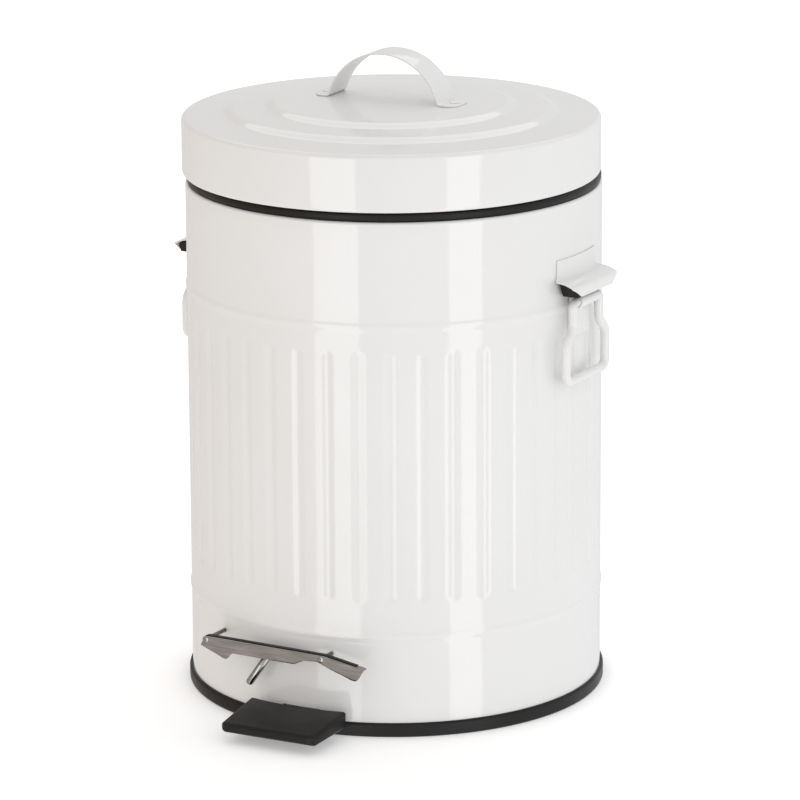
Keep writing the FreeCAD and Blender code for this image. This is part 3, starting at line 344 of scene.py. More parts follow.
def add_range(tree, source, low, high, out_low=0.0, out_high=1.0):
    """Spreads a value from one range over another."""
    spread = tree.nodes.new("ShaderNodeMapRange")
    for label, value in (("From Min", low), ("From Max", high), ("To Min", out_low), ("To Max", out_high)):
        spread.inputs[label].default_value = value
    tree.links.new(source, spread.inputs["Value"])
    return spread.outputs["Result"]


def make_grain_group():
    """Fine moulded or sprayed texture: a coarse and a fine noise added up, as a height."""
    tree, entry, leave = shader_group("surface_grain", {"Scale": 400.0, "Fine Scale": 2000.0}, ["Height"])
    coarse = add_noise(tree, entry.outputs["Scale"], detail=1.0)
    fine = add_noise(tree, entry.outputs["Fine Scale"], detail=2.0)
    total = tree.nodes.new("ShaderNodeMath")
    total.operation = "ADD"
    tree.links.new(coarse.outputs["Fac"], total.inputs[0])
    tree.links.new(fine.outputs["Fac"], total.inputs[1])
    tree.links.new(total.outputs["Value"], leave.inputs["Height"])
    return tree


def make_smudge_group():
    """Broad, soft patches of handling and cleaning, as a mask from none to one."""
    tree, entry, leave = shader_group("handling_smudge", {"Scale": 14.0}, ["Mask"])
    patch = add_noise(tree, entry.outputs["Scale"], detail=3.0)
    tree.links.new(add_range(tree, patch.outputs["Fac"], low=0.35, high=0.7), leave.inputs["Mask"])
    return tree


def make_streak_group():
    """Long fine streaks along the sheet, from a noise stretched sideways, as a mask."""
    tree, entry, leave = shader_group("polish_streaks", {"Scale": 900.0}, ["Mask"])
    streak = add_noise(tree, entry.outputs["Scale"], detail=2.0, stretch=(0.05, 1.0, 1.0))
    tree.links.new(add_range(tree, streak.outputs["Fac"], low=0.3, high=0.72), leave.inputs["Mask"])
    return tree


GRAIN = make_grain_group()
SMUDGE = make_smudge_group()
STREAKS = make_streak_group()


def place_group(tree, group, **values):
    """Puts a shared effect into a material with its own values."""
    node = tree.nodes.new("ShaderNodeGroup")
    node.node_tree = group
    for label, value in values.items():
        node.inputs[label.replace("_", " ")].default_value = value
    return node


def make_finish(name, colours, mask, roughness, height, bump, metallic=0.0, **constants):
    """A finish: two colours and a range of roughness by a mask, and a bump from a height, by its strength and
    distance."""
    material = bpy.data.materials.new(name)
    material.use_nodes = True
    tree = material.node_tree
    shader = tree.nodes["Principled BSDF"]
    shader.inputs["Metallic"].default_value = metallic
    for label, value in constants.items():
        shader.inputs[label.replace("_", " ")].default_value = value
    mask_group, mask_values = mask
    patches = place_group(tree, mask_group, **mask_values).outputs["Mask"]
    mix = tree.nodes.new("ShaderNodeMix")
    mix.data_type = "RGBA"
    mix.inputs["A"].default_value, mix.inputs["B"].default_value = [(*colour, 1.0) for colour in colours]
    tree.links.new(patches, mix.inputs["Factor"])
    tree.links.new(mix.outputs["Result"], shader.inputs["Base Color"])
    tree.links.new(add_range(tree, patches, 0.0, 1.0, *roughness), shader.inputs["Roughness"])
    relief = tree.nodes.new("ShaderNodeBump")
    relief.inputs["Strength"].default_value, relief.inputs["Distance"].default_value = bump
    tree.links.new(place_group(tree, GRAIN, **height).outputs["Height"], relief.inputs["Height"])
    tree.links.new(relief.outputs["Normal"], shader.inputs["Normal"])
    return material


FINISHES = {
    "white_paint": make_finish(
        "gloss_white_paint", colours=((0.80, 0.80, 0.795), (0.78, 0.78, 0.772)), mask=(SMUDGE, {"Scale": 11.0}),
        roughness=(0.05, 0.085), height={"Scale": 260.0, "Fine_Scale": 900.0}, bump=(0.025, 0.0002), IOR=1.5),
    "black_plastic": make_finish(
        "moulded_black_plastic", colours=((0.0075, 0.0070, 0.0068), (0.011, 0.0105, 0.010)),
        mask=(SMUDGE, {"Scale": 45.0}), roughness=(0.36, 0.50), height={"Scale": 1800.0, "Fine_Scale": 5200.0},
        bump=(0.22, 0.0001), Specular_IOR_Level=0.22),
    "grey_plastic": make_finish(
        "moulded_grey_plastic", colours=((0.052, 0.054, 0.057), (0.062, 0.064, 0.067)),
        mask=(SMUDGE, {"Scale": 22.0}), roughness=(0.42, 0.55), height={"Scale": 900.0, "Fine_Scale": 3600.0},
        bump=(0.18, 0.0001)),
    "bright_steel": make_finish(
        "zinc_plated_steel", colours=((0.56, 0.56, 0.57), (0.66, 0.66, 0.66)), mask=(STREAKS, {"Scale": 700.0}),
        roughness=(0.28, 0.42), height={"Scale": 600.0, "Fine_Scale": 2400.0}, bump=(0.08, 0.0001), metallic=1.0),
    "nickel_plate": make_finish(
        "polished_nickel_plate", colours=((0.24, 0.24, 0.238), (0.35, 0.35, 0.346)),
        mask=(STREAKS, {"Scale": 900.0}), roughness=(0.12, 0.24), height={"Scale": 500.0, "Fine_Scale": 1800.0},
        bump=(0.05, 0.0001), metallic=1.0),
}


# Body shell

def make_body_shell():
    """A turned wall: radius by height is the plain radius, plus a raised cosine at each bead, less a
    pressed flute whose depth is a raised cosine of the distance from its centre line, and the top edge
    rolls inwards on a quarter circle. The lever's slot and the crank's notch are left open."""
    low, high = FLUTE_LOW + FLUTE_WIDTH / 2, FLUTE_HIGH - FLUTE_WIDTH / 2
    half_bead = BEAD_WIDTH / 2
    height = stops(BODY_LOW, (SLOT_LOW, 1), (SLOT_TOP, 2), (BEAD_HEIGHTS[0] - half_bead, 2),
                   (BEAD_HEIGHTS[0] + half_bead, 10), (low - FLUTE_WIDTH / 2, 2), (low, 7), (high, 6),
                   (high + FLUTE_WIDTH / 2, 7), (BEAD_HEIGHTS[1] - half_bead, 2),
                   (BEAD_HEIGHTS[1] + half_bead, 10), (NOTCH_LOW, 3), (BODY_TOP - RIM_ROLL, 1))
    pitch = 2 * pi / FLUTE_COUNT
    flute = np.linspace(-FLUTE_WIDTH / 2, FLUTE_WIDTH / 2, 11) / BODY_RADIUS
    land = np.linspace(flute[-1], pitch + flute[0], 5)[1:-1]
    bearing = (np.arange(FLUTE_COUNT)[:, None] * pitch + np.concatenate([flute, land])).ravel() - pi
    bearing = (bearing + pi) % (2 * pi) - pi
    bearing.sort()
    for edge in (asin(SLOT_HALF / BODY_RADIUS), pi - asin(NOTCH_HALF / BODY_RADIUS)):
        for side in (-edge, edge):
            bearing[np.argmin(np.abs(bearing - side))] = side
    across = ((bearing + pitch / 2) % pitch - pitch / 2) * BODY_RADIUS
    past = np.maximum(0, np.maximum(low - height, height - high))
    press = FLUTE_DEPTH * swell(np.hypot(across[None], past[:, None]), FLUTE_WIDTH)
    bead = sum(BEAD_RISE * swell(height - middle, BEAD_WIDTH) for middle in BEAD_HEIGHTS)
    radius = BODY_RADIUS + bead[:, None] - press
    turn = np.linspace(0, pi / 2, 7)[1:]
    roll = BODY_RADIUS - RIM_ROLL + RIM_ROLL * np.cos(turn)
    radius = np.concatenate([radius, np.repeat(roll[:, None], len(bearing), axis=1)])
    height = np.concatenate([height, BODY_TOP - RIM_ROLL + RIM_ROLL * np.sin(turn)])
    quads = grid_quads(len(height), len(bearing), round_columns=True)
    middle_height = (height[:-1] + height[1:])[:, None] / 2
    half_step = ((np.roll(bearing, -1) - bearing) % (2 * pi)) / 2
    middle_bearing = bearing + half_step
    sideways = BODY_RADIUS * np.abs(np.sin(middle_bearing))[None]
    front = np.cos(middle_bearing)[None] > 0
    slot = front & (sideways < SLOT_HALF) & (middle_height > SLOT_LOW) & (middle_height < SLOT_TOP)
    notch = ~front & (sideways < NOTCH_HALF) & (middle_height > NOTCH_LOW)
    shell = new_piece("shell_wall", (round_points(radius, bearing[None], height[:, None]), quads[~(slot | notch)]))
    thicken(shell, SHEET)
    break_edges(shell, SHELL_EDGE)
    settle(shell, "bin", "white_paint", "body_shell")


# Lid and its strap handle

def lid_top(radius):
    """Height of the lid's top over a radius: a shallow parabola with two pressed rings, each a half cosine
    that steps up towards the middle."""
    rings = sum(swell(np.maximum(radius - middle + LID_STEP_WIDTH / 2, 0), 2 * LID_STEP_WIDTH)
                for middle in LID_STEPS)
    return LID_EDGE + LID_CROWN * (1 - (radius / (LID_RADIUS - LID_ROUND)) ** 2) + LID_STEP_RISE * rings


def make_lid_shell():
    """A turned cap: a curled lower edge, an upright skirt, a rounded shoulder and the ringed top."""
    curl = np.linspace(-pi / 2, 0, 7)
    shoulder = np.linspace(0, pi / 2, 11)[1:]
    outer, inner = LID_STEPS
    half = LID_STEP_WIDTH / 2
    top = stops(LID_RADIUS - LID_ROUND, (outer + half, 8), (outer - half, 14), (inner + half, 8), (inner - half, 14),
                (4.0, 16), (0.0, 2))[1:]
    radius = np.concatenate([LID_RADIUS - LID_CURL + LID_CURL * np.cos(curl),
                             [LID_RADIUS] * 3,
                             LID_RADIUS - LID_ROUND + LID_ROUND * np.cos(shoulder), top])
    skirt = stops(LID_LOW + LID_CURL_TALL, (LID_EDGE - LID_ROUND, 3))[1:]
    height = np.concatenate([LID_LOW + LID_CURL_TALL + LID_CURL_TALL * np.sin(curl), skirt,
                             LID_EDGE - LID_ROUND + LID_ROUND * np.sin(shoulder), lid_top(top)])
    bearing = np.linspace(-pi, pi, 288, endpoint=False)
    points = round_points(radius[:, None], bearing[None], height[:, None])
    points[..., 1] -= LID_FORWARD
    lid = new_piece("lid_cap", (points, grid_quads(len(height), len(bearing), round_columns=True)))
    thicken(lid, SHEET)
    settle(lid, "lid", "white_paint", "lid_shell")


def turned_piece(profile, bearings):
    """A closed body of revolution about an upright axis from its profile of radius and height."""
    radius, height = np.array(profile, float).T
    bearing = np.linspace(-pi, pi, bearings, endpoint=False)
    points = round_points(radius[:, None], bearing[None], height[:, None])
    return points, grid_quads(len(radius), bearings, round_columns=True)


def make_lid_handle():
    """A rounded oblong section carried along an arch: a circle's arc, a small bend at each leg's foot and a
    flat flange that follows the lid and narrows to a rounded tip. A low rivet holds each flange."""
    half_sheet = STRAP_SHEET / 2
    foot, tip = lid_top(np.array([STRAP_HALF, STRAP_HALF + STRAP_FOOT])) + SEAT + half_sheet
    crest = STRAP_TOP - half_sheet
    rise = crest - foot
    radius = (STRAP_HALF ** 2 + rise ** 2) / (2 * rise)
    turn = np.linspace(-STRAP_ARC, STRAP_ARC, 49)
    arch = np.stack([radius * np.sin(turn), crest - radius + radius * np.cos(turn), 0 * turn], axis=-1)
    back = STRAP_TIP_ROUND * (1 - np.cos(np.linspace(0, pi / 2, 8)))
    flange = np.stack([STRAP_HALF + STRAP_FOOT - back, tip + (foot - tip) * back / STRAP_FOOT, 0 * back], axis=-1)
    leg = flange.tolist() + [(STRAP_HALF, foot, STRAP_BEND)]
    line = corner_path([(-x, z, r) for x, z, r in leg] + arch.tolist() + leg[::-1], steps=6)
    along = tangents(line, closed=False)
    half = STRAP_WIDTH / 2
    reach = np.minimum(STRAP_HALF + STRAP_FOOT - np.abs(line[:, 0]), STRAP_TIP_ROUND)
    drawn_in = STRAP_TIP_ROUND - np.sqrt(STRAP_TIP_ROUND ** 2 - (STRAP_TIP_ROUND - reach) ** 2)
    corner = half_sheet * STRAP_CORNER_SHARE
    section = corner_path([(-half, -half_sheet, corner), (half, -half_sheet, corner), (half, half_sheet, corner),
                           (-half, half_sheet, corner)], steps=4, closed=True)
    across = section[None, :, 0] - np.sign(section[None, :, 0]) * drawn_in[:, None]
    up = section[None, :, 1]
    points = np.stack(np.broadcast_arrays(line[:, None, 0] - up * along[:, None, 1], across - LID_FORWARD,
                                          line[:, None, 1] + up * along[:, None, 0]), axis=-1)
    count = len(section)
    quads = grid_quads(len(line), count, round_columns=True)
    strap = new_piece("lid_strap", (points, quads, *end_caps(len(line), count)), outward=True)
    settle(strap, "lid", "white_paint", "lid_handle")
    inside = float(lid_top(np.array(STRAP_RIVET_OUT)))
    deep, seat = inside - STRAP_RIVET_DEPTH, inside + 2 * SEAT + STRAP_SHEET
    turn = np.linspace(0, pi / 2, 8)
    head = np.stack([STRAP_RIVET * np.cos(turn), seat + STRAP_RIVET_RIM + STRAP_RIVET_RISE * np.sin(turn)], axis=-1)
    shank = [(0, deep), (STRAP_RIVET_SHANK, deep), (STRAP_RIVET_SHANK, seat), (STRAP_RIVET, seat)]
    points, quads = turned_piece(shank + head.tolist(), 32)
    rivets = [(points + np.array([side * STRAP_RIVET_OUT, -LID_FORWARD, 0]), quads) for side in (-1, 1)]
    settle(new_piece("lid_strap_rivets", *rivets, outward=True), "lid", "white_paint", "lid_handle_rivets")


# Drop handles

def handle_place(side, across, out, height):
    """Points of a drop handle from its own sideways, outward and upward measures."""
    turn = HANDLE_TURNS[side]
    return np.stack(np.broadcast_arrays(out * cos(turn) - across * sin(turn),
                                        out * sin(turn) + across * cos(turn), height), axis=-1)


def make_handle_bails():
    """A round wire carried round a closed flat line: a short axle, a neck, a waist that flares on two arcs,
    and a wide grip with round corners."""
    right = [(BAIL_NECK, AXLE_HEIGHT, BAIL_BENDS["top"]), (BAIL_NECK, BAIL_WAIST[0], BAIL_BENDS["waist"]),
             (BAIL_SPREAD, BAIL_WAIST[1], BAIL_BENDS["waist"]), (BAIL_SPREAD, BAIL_LOW, BAIL_BENDS["corner"])]
    line = corner_path(right + [(-x, z, r) for x, z, r in right[::-1]], steps=10, closed=True)
    along = tangents(line, closed=True)
    around = np.linspace(0, 2 * pi, 20, endpoint=False)[None]
    inward, outward = BAIL_WIRE * np.cos(around), BAIL_WIRE * np.sin(around)
    across = line[:, None, 0] - inward * along[:, None, 1]
    height = line[:, None, 1] + inward * along[:, None, 0]
    quads = grid_quads(len(line), around.size, round_rows=True, round_columns=True)
    for side in HANDLE_TURNS:
        bail = new_piece(f"{side}_grip", (handle_place(side, across, AXLE_OUT + outward, height), quads), outward=True)
        settle(bail, f"{side}_bail", "white_paint", f"{side}_handle_bail")


def make_handle_brackets():
    """One bent sheet for each handle: a plate on the wall's circle, a quarter bend outwards, a hood that falls
    away on a parabola, a fold on a quadratic curve and a lip that narrows downwards. Below it lies a tongue
    with rounded corners, and a tube on it for the wire."""
    bend = np.linspace(0, pi / 2, 8)[1:, None]
    fall = np.linspace(0, FOLD_START, 15)[1:, None]
    fold = np.linspace(0, 1, 8)[1:, None]
    hang = np.linspace(0, 1, 5)[1:, None]
    flat = np.linspace(PLATE_HIGH, HOOD_ROOT + HOOD_BEND, 4)[:, None]
    ease = np.array([FOLD_START, HOOD_BEND * (1 - FOLD_START), HOOD_ROOT - HOOD_DROP * FOLD_START ** 2])
    edge = np.array([1.0, 0.0, HOOD_ROOT - HOOD_DROP])
    drop = np.array([1.0, LIP_REACH * FOLD_END, HOOD_ROOT - HOOD_DROP - LIP_DROP * FOLD_END])
    tip = np.array([1.0, LIP_REACH, HOOD_ROOT - HOOD_DROP - LIP_DROP])
    line = np.concatenate([
        np.concatenate([0 * flat, 0 * flat, flat], axis=1),
        np.concatenate([0 * bend, HOOD_BEND * (1 - np.cos(bend)), HOOD_ROOT + HOOD_BEND * (1 - np.sin(bend))], axis=1),
        np.concatenate([fall, HOOD_BEND * (1 - fall), HOOD_ROOT - HOOD_DROP * fall ** 2], axis=1),
        (1 - fold) ** 2 * ease + 2 * fold * (1 - fold) * edge + fold ** 2 * drop,
        drop + (tip - drop) * hang])
    share, beyond, height = (line[:, index, None] for index in range(3))
    widen = np.clip((HOOD_ROOT + HOOD_BEND - height) / HOOD_BEND, 0, 1)
    narrow = np.clip((HOOD_ROOT - HOOD_DROP - height) / LIP_DROP, 0, 1)
    half = PLATE_HALF + (HOOD_HALF - PLATE_HALF) * widen ** 2 - LIP_CORNER * narrow
    across = half * np.linspace(1, -1, 41)[None]
    wall = np.sqrt(PLATE_OUT ** 2 - across ** 2)
    out = wall + share * (HOOD_FOLD - wall) + beyond

    low = TONGUE_LOW + TONGUE_ROUND * (1 - np.cos(np.linspace(0, pi / 2, 8)))
    rise = np.concatenate([stops(TONGUE_HIGH, (low[-1], 8)), low[-2::-1]])[:, None]
    depth = np.minimum(rise - TONGUE_LOW, TONGUE_ROUND)
    tongue_half = TONGUE_HALF - TONGUE_ROUND + np.sqrt(TONGUE_ROUND ** 2 - (TONGUE_ROUND - depth) ** 2)
    tongue = tongue_half * np.linspace(1, -1, 17)[None]
    tongue_out = np.sqrt(TONGUE_OUT ** 2 - tongue ** 2)

    ring = corner_path([(-TONGUE_HALF, KNUCKLE_BORE, KNUCKLE_BORE_ROUND),
                        (TONGUE_HALF, KNUCKLE_BORE, KNUCKLE_BORE_ROUND),
                        (TONGUE_HALF, KNUCKLE, KNUCKLE_ROUND), (-TONGUE_HALF, KNUCKLE, KNUCKLE_ROUND)],
                       steps=3, closed=True)
    around = np.linspace(0, 2 * pi, 40, endpoint=False)[:, None]
    for side in HANDLE_TURNS:
        hood = new_piece(f"{side}_hood", (handle_place(side, across, out, height), grid_quads(*out.shape)))
        thicken(hood, BRACKET_SHEET)
        break_edges(hood, HOOD_EDGE)
        settle(hood, "bin", "white_paint", f"{side}_handle_bracket")
        leaf = new_piece(f"{side}_tongue", (handle_place(side, tongue, tongue_out, rise), grid_quads(*tongue.shape)))
        thicken(leaf, TONGUE_SHEET)
        break_edges(leaf, TONGUE_EDGE)
        settle(leaf, "bin", "white_paint")
        tube = handle_place(side, ring[None, :, 0], AXLE_OUT + ring[None, :, 1] * np.cos(around),
                            AXLE_HEIGHT + ring[None, :, 1] * np.sin(around))
        quads = grid_quads(around.size, len(ring), round_rows=True, round_columns=True)
        settle(new_piece(f"{side}_knuckle", (tube, quads), outward=True), "bin", "white_paint")


def make_hood_shade_blocks():
    """A black block under each hood, painted shade: it stands in for the deep shade under the hood. A side outline
    with a sloping top, stretched from the wall's circle to its flat front, and as wide as a straight taper that
    narrows downwards allows."""
    outline = corner_path([(TONGUE_OUT, SHADE_BLOCK_LOW, SHADE_BLOCK_ROUND), (SHADE_BLOCK_FRONT, SHADE_BLOCK_LOW, SHADE_BLOCK_ROUND),
                           (SHADE_BLOCK_FRONT, SHADE_BLOCK_HIGH - SHADE_BLOCK_FALL, SHADE_BLOCK_ROUND), (TONGUE_OUT, SHADE_BLOCK_HIGH, SHADE_BLOCK_ROUND)],
                          steps=4, closed=True)
    height = outline[None, :, 1]
    half = SHADE_BLOCK_HALF - SHADE_BLOCK_TAPER * (SHADE_BLOCK_HIGH - height) / (SHADE_BLOCK_HIGH - SHADE_BLOCK_LOW)
    across = np.linspace(-1, 1, 25)[:, None] * half
    wall = np.sqrt((TONGUE_OUT + SEAT) ** 2 - across ** 2)
    out = wall + (SHADE_BLOCK_FRONT - wall) * (outline[None, :, 0] - TONGUE_OUT) / (SHADE_BLOCK_FRONT - TONGUE_OUT)
    quads = grid_quads(*across.shape, round_columns=True)
    for side in HANDLE_TURNS:
        points = handle_place(side, across, out, height)
        shade_block = new_piece(f"{side}_liner", (points, quads, *end_caps(*across.shape)), outward=True)
        break_edges(shade_block, SHADE_BLOCK_EDGE)
        settle(shade_block, "bin", "black_plastic", f"{side}_handle_liner")


# Pedal pad

def make_pedal_pad():
    """A wedge whose side outline has four rounded corners and shrinks towards both ends on a quarter circle;
    its back bows round the shell and its front corners are rounded seen from above."""
    slope = tan(PAD_TILT)
    nose, back = PAD_FRONT - PAD_END_ROUND, PAD_WALL + PAD_END_ROUND
    top = PAD_NOSE_TOP - PAD_END_ROUND / cos(PAD_TILT)
    whole = np.array([(-PAD_FRONT, PAD_LOW), (-PAD_WALL, PAD_LOW),
                      (-PAD_WALL, PAD_NOSE_TOP + slope * (PAD_FRONT - PAD_WALL)), (-PAD_FRONT, PAD_NOSE_TOP)])
    core = np.array([(-nose, PAD_LOW + PAD_END_ROUND), (-back, PAD_LOW + PAD_END_ROUND),
                     (-back, top + slope * (PAD_FRONT - back)), (-nose, top + slope * (PAD_FRONT - nose))])
    lean = np.linspace(0, pi / 2, 7)
    station = np.concatenate([-(PAD_HALF - PAD_END_ROUND + PAD_END_ROUND * np.sin(lean[::-1])),
                              np.linspace(-(PAD_HALF - PAD_END_ROUND), PAD_HALF - PAD_END_ROUND, 17)[1:-1],
                              PAD_HALF - PAD_END_ROUND + PAD_END_ROUND * np.sin(lean)])
    shrink = PAD_END_ROUND * (1 - np.concatenate([np.cos(lean[::-1]), np.ones(15), np.cos(lean)]))
    rings = []
    for inset in shrink:
        corners = whole + (core - whole) * inset / PAD_END_ROUND
        rounds = np.maximum(np.array(PAD_CORNER_ROUNDS) - inset, PAD_LEAST_ROUND)
        rings.append(corner_path(np.column_stack([corners, rounds]), steps=6, closed=True))
    y, z = np.moveaxis(np.array(rings), -1, 0)
    bow = PAD_WALL - np.sqrt(PAD_WALL ** 2 - station ** 2)
    y = y + bow[:, None] * (y + PAD_FRONT) / (PAD_FRONT - PAD_WALL)
    near = np.clip(1 - (y + PAD_FRONT) / PAD_FRONT_ROUND, 0, 1)
    x = station[:, None] * (1 - PAD_FRONT_ROUND * (1 - np.sqrt(1 - near ** 2)) / PAD_HALF)
    quads = grid_quads(*x.shape, round_columns=True)
    pad = new_piece("pedal_tread", (np.stack([x, y, z], axis=-1), quads, *end_caps(*x.shape)), outward=True)
    settle(pad, "pedal", "black_plastic", "pedal_pad")


# Kick guard

def guard_place(across, out, height):
    """Points of the kick guard from its own sideways, outward and upward measures."""
    return np.stack(np.broadcast_arrays(across * cos(GUARD_TURN) + out * sin(GUARD_TURN),
                                        across * sin(GUARD_TURN) - out * cos(GUARD_TURN), height), axis=-1)


def eased(across, knots):
    """Heights through knots joined by straight lines, then averaged over a short reach to round the corners."""
    at, level = np.array(knots, float).T
    shifts = np.linspace(-GUARD_EASE, GUARD_EASE, 9)
    return np.mean([np.interp(across + shift, at, level) for shift in shifts], axis=0)


def make_kick_guard():
    """A stamped plate between an upper and a lower outline, its lobes dished, its upper edge folded back
    towards the shell on a quarter circle."""
    across = np.concatenate([np.linspace(*leg) for leg in GUARD_STATIONS])
    high = eased(across, GUARD_TOP)
    low = np.minimum(eased(across, GUARD_LOW), high - GUARD_END)
    bend = np.minimum(GUARD_BEND, GUARD_BEND_SHARE * (high - low))
    share = np.linspace(0, 1, 11)[:, None]
    dish = GUARD_DISH * sum(swell(across - middle, width) for middle, width in GUARD_LOBES)
    front = GUARD_STAND + GUARD_SHEET
    turn = np.linspace(0, pi / 2, 6)[1:, None]
    lip = np.array([[GUARD_LIP_STEP], [GUARD_LIP]])
    out = np.concatenate([front - dish * (1 - share) ** 2, front - bend + bend * np.cos(turn), front - bend - lip])
    height = np.concatenate([low + (high - bend - low) * share, high - bend + bend * np.sin(turn), high + 0 * lip])
    plate = new_piece("guard_plate", (guard_place(across[None], out, height), grid_quads(*out.shape)))
    thicken(plate, GUARD_WALL)
    settle(plate, "bin", "nickel_plate", "kick_guard")


def make_gap_shade_strip():
    """A thin black rounded oblong section carried along the guard's upper outline, short of its right end: painted
    shade, a dark strip that stands in for the shadowed gap between the guard's fold and the shell.
    """
    across = np.linspace(*STRIP_ENDS, 61)[:, None]
    back, top = GUARD_STAND - GUARD_LIP, SEAT + STRIP_TALL
    section = corner_path([(back, SEAT, STRIP_ROUND), (GUARD_STAND, SEAT, STRIP_ROUND), (GUARD_STAND, top, STRIP_ROUND),
                           (back, top, STRIP_ROUND)], steps=3, closed=True)
    points = guard_place(across, section[None, :, 0], eased(across, GUARD_TOP) + section[None, :, 1])
    rows, columns = points.shape[:2]
    quads = grid_quads(rows, columns, round_columns=True)
    strip = new_piece("gap_shade_strip", (points, quads, *end_caps(rows, columns)), outward=True)
    settle(strip, "bin", "black_plastic", "kick_guard_backing")


def make_guard_peg():
    """A rod with a round tip: a quarter circle and a straight side turned about its slanting axis, with a flat
    end behind the plate."""
    foot, head = np.array(PEG_TIP), np.array(PEG_TOP)
    axis = (head - foot) / np.hypot(*(head - foot))
    turn = np.linspace(0, pi / 2, 8)
    along = np.concatenate([PEG_RADIUS - PEG_RADIUS * np.cos(turn), [np.hypot(*(head - foot))]])
    radius = np.concatenate([PEG_RADIUS * np.sin(turn), [PEG_RADIUS]])
    around = np.linspace(0, 2 * pi, 28, endpoint=False)[None]
    side, out = radius[:, None] * np.cos(around), radius[:, None] * np.sin(around)
    across = foot[0] + along[:, None] * axis[0] - side * axis[1]
    height = foot[1] + along[:, None] * axis[1] + side * axis[0]
    points = guard_place(across, GUARD_STAND - PEG_RADIUS - SEAT + out, height)
    quads = grid_quads(*across.shape, round_columns=True)
    peg = new_piece("guard_peg", (points, quads, end_caps(*across.shape)[1]), outward=True)
    settle(peg, "bin", "nickel_plate", "kick_guard_peg")


def make_guard_pins():
    """Two turned pins that carry the guard: a plain shank out of the shell and a low domed head on the plate."""
    turn = np.linspace(0, pi / 2, 9)
    front = GUARD_STAND + GUARD_SHEET
    around = np.linspace(0, 2 * pi, 32, endpoint=False)[None]
    pins = []
    for place in PIN_PLACES:
        wall = float(np.sqrt(BODY_RADIUS ** 2 - (abs(place) - PIN_SHANK) ** 2)) + SEAT
        radius = np.concatenate([[0, PIN_SHANK, PIN_SHANK, PIN_HEAD], PIN_HEAD * np.cos(turn)])[:, None]
        head = front + PIN_RIM + (PIN_PROUD - PIN_RIM) * np.sin(turn)
        along = np.concatenate([[wall, wall, front, front], head])[:, None]
        points = guard_place(place + radius * np.cos(around), along, PIN_HEIGHT + radius * np.sin(around))
        pins.append((points, grid_quads(radius.size, around.size, round_columns=True)))
    settle(new_piece("guard_pins", *pins, outward=True), "bin", "nickel_plate", "kick_guard_pins")


# Pieces that keep the CAD's shape

def soften(node, edge):
    """A copy of a CAD node with its flat faces whole again, smooth rounds and slightly broken edges."""
    source = frame["nodes"][node]
    sheet = bmesh.new()
    sheet.from_mesh(source.data)
    bmesh.ops.remove_doubles(sheet, verts=sheet.verts, dist=MERGE)
    bmesh.ops.dissolve_limit(sheet, angle_limit=KEPT_FLAT, verts=sheet.verts, edges=sheet.edges)
    mesh = bpy.data.meshes.new(f"{node}_dressed")
    sheet.to_mesh(mesh)
    sheet.free()
    mesh.polygons.foreach_set("use_smooth", np.ones(len(mesh.polygons), bool))
    mesh.set_sharp_from_angle(angle=KEPT_SHARP)
    piece = bpy.data.objects.new(f"{node}_dressed", mesh)
    bpy.context.scene.collection.objects.link(piece)
    if edge:
        break_edges(piece, edge)
    settle(piece, body_of(source)[0], SLOT_OF_NODE[node], node)


SLOT_OF_NODE = {part["node"]: part["material_slot"] for part in frame["record"]["subparts"]}

make_body_shell()
make_lid_shell()
make_lid_handle()
make_handle_brackets()
make_hood_shade_blocks()
make_handle_bails()
make_pedal_pad()
make_kick_guard()
make_gap_shade_strip()
make_guard_peg()
make_guard_pins()
for node, edge in KEPT_EDGES.items():
    soften(node, edge)


# Floor, light and camera

def make_floor():
    """A wide pale square that glows a little, so that it stays white, and that the gloss doesn't mirror."""
    mesh = bpy.data.meshes.new("floor")
    side = FLOOR_HALF
    mesh.from_pydata([(-side, -side, 0), (side, -side, 0), (side, side, 0), (-side, side, 0)], [], [(0, 1, 2, 3)])
    floor = bpy.data.objects.new("floor", mesh)
    bpy.context.scene.collection.objects.link(floor)
    material = bpy.data.materials.new("pale_floor")
    material.use_nodes = True
    shader = material.node_tree.nodes["Principled BSDF"]
    shader.inputs["Base Color"].default_value = (FLOOR_GREY, FLOOR_GREY, FLOOR_GREY, 1)
    shader.inputs["Roughness"].default_value = FLOOR_ROUGHNESS
    shader.inputs["Specular IOR Level"].default_value = 0.0
    shader.inputs["Emission Color"].default_value = (1, 1, 1, 1)
    shader.inputs["Emission Strength"].default_value = FLOOR_GLOW
    mesh.materials.append(material)
    floor.visible_glossy = False


def make_softbox(name, place, size, radiance, aim, mirrored_only=False):
    """A rectangular light that shows in reflections but not to the camera."""
    light = bpy.data.lights.new(name, "AREA")
    light.shape = "RECTANGLE"
    light.size, light.size_y = size
    light.energy = radiance * pi * size[0] * size[1]
    lamp = bpy.data.objects.new(name, light)
    lamp.location = place
    lamp.rotation_euler = (Vector(aim) - Vector(place)).to_track_quat("-Z", "Y").to_euler()
    lamp.visible_camera = False
    lamp.visible_diffuse = not mirrored_only
    bpy.context.scene.collection.objects.link(lamp)


def beside_camera(turn, away, height):
    """A place at an angle to the right of the camera, seen from the bin."""
    bearing = VIEW_TURN + radians(turn)
    return away * sin(bearing), -away * cos(bearing), height


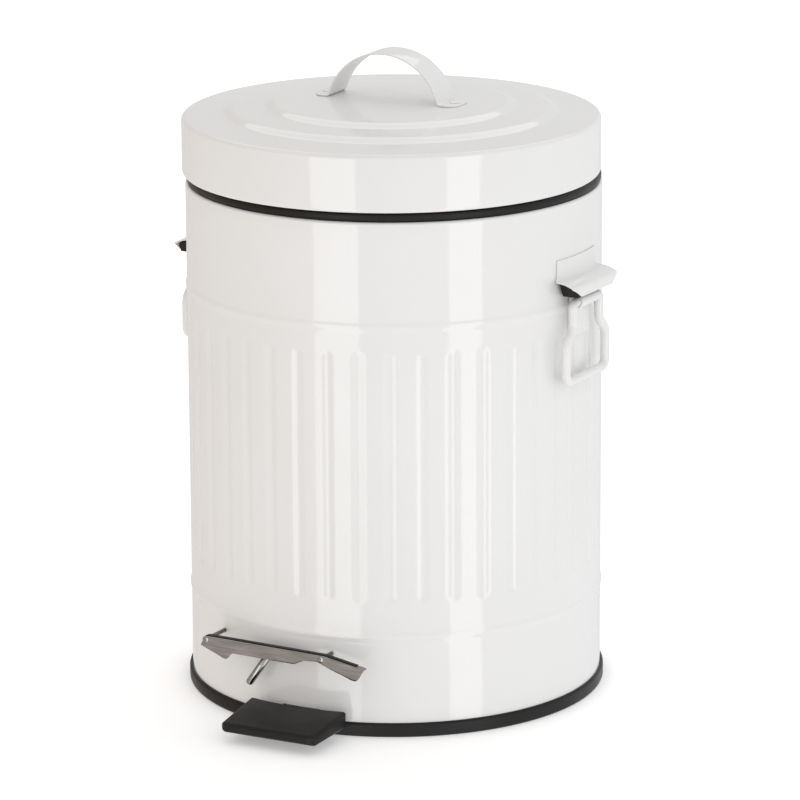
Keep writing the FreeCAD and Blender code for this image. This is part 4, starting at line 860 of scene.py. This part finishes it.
def make_lights():
    """Two strips that only the gloss mirrors and that reach below the floor's level, a ceiling box behind the
    bin, and surroundings that are brighter towards the camera, dimmer overhead and warmer on the left."""
    for name, turn, wide in LAMP_STRIPS:
        place = beside_camera(turn, LAMP_STRIP_AWAY, LAMP_STRIP_MIDDLE)
        make_softbox(name, place, (wide, LAMP_STRIP_TALL), LAMP_STRIP_RADIANCE, (0, 0, LAMP_STRIP_MIDDLE),
                     mirrored_only=True)
    place = beside_camera(180, CEILING_AWAY, CEILING_HEIGHT)
    aim = (place[0] + CEILING_LEAN * sin(VIEW_TURN), place[1] - CEILING_LEAN * cos(VIEW_TURN), 0)
    make_softbox("ceiling_box", place, CEILING_SIZE, CEILING_RADIANCE, aim)
    world = bpy.data.worlds.new("studio")
    bpy.context.scene.world = world
    world.use_nodes = True
    tree = world.node_tree
    tree.nodes.clear()
    leave = tree.nodes.new("ShaderNodeOutputWorld")
    seen, around = tree.nodes.new("ShaderNodeBackground"), tree.nodes.new("ShaderNodeBackground")
    choose, path = tree.nodes.new("ShaderNodeMixShader"), tree.nodes.new("ShaderNodeLightPath")
    place = tree.nodes.new("ShaderNodeTexCoord")
    aims = {"right": (cos(VIEW_TURN), sin(VIEW_TURN), 0), "front": (sin(VIEW_TURN), -cos(VIEW_TURN), 0),
            "up": (0, 0, 1)}
    shares = {}
    for side, aim in aims.items():
        along = tree.nodes.new("ShaderNodeVectorMath")
        along.operation = "DOT_PRODUCT"
        along.inputs[1].default_value = aim
        tree.links.new(place.outputs["Generated"], along.inputs[0])
        shares[side] = along.outputs["Value"]
    tint = tree.nodes.new("ShaderNodeMix")
    tint.data_type = "RGBA"
    tint.inputs["A"].default_value, tint.inputs["B"].default_value = WARM, COOL
    tree.links.new(add_range(tree, shares["right"], WARM_END, COOL_START), tint.inputs["Factor"])
    tree.links.new(tint.outputs["Result"], around.inputs["Color"])
    dim = tree.nodes.new("ShaderNodeMath")
    dim.operation = "MULTIPLY"
    tree.links.new(add_range(tree, shares["front"], *FRONT_RANGE, *FRONT_GAIN), dim.inputs[0])
    tree.links.new(add_range(tree, shares["up"], *UP_RANGE, *UP_GAIN), dim.inputs[1])
    tree.links.new(dim.outputs["Value"], around.inputs["Strength"])
    tree.links.new(path.outputs["Is Camera Ray"], choose.inputs["Fac"])
    tree.links.new(around.outputs["Background"], choose.inputs[1])
    tree.links.new(seen.outputs["Background"], choose.inputs[2])
    seen.inputs["Color"].default_value = (1, 1, 1, 1)
    tree.links.new(choose.outputs["Shader"], leave.inputs["Surface"])


def make_camera():
    """The photograph's view, fitted to the bin's outline: distance, height, tilt, roll and shift."""
    camera = bpy.data.cameras.new("photo_camera")
    camera.sensor_width = CAMERA_SENSOR
    camera.lens = CAMERA_LENS
    camera.shift_x, camera.shift_y = CAMERA_SHIFT
    holder = bpy.data.objects.new("photo_camera", camera)
    turn = Matrix.Rotation(VIEW_TURN, 4, "Z") @ Matrix.Rotation(pi / 2 - CAMERA_TILT, 4, "X")
    holder.matrix_world = (Matrix.Translation(beside_camera(0, CAMERA_AWAY, CAMERA_HEIGHT))
                           @ turn @ Matrix.Rotation(CAMERA_ROLL, 4, "Z"))
    bpy.context.scene.collection.objects.link(holder)
    bpy.context.scene.camera = holder


make_floor()
make_lights()
make_camera()
bpy.context.scene.view_settings.view_transform = "Standard"
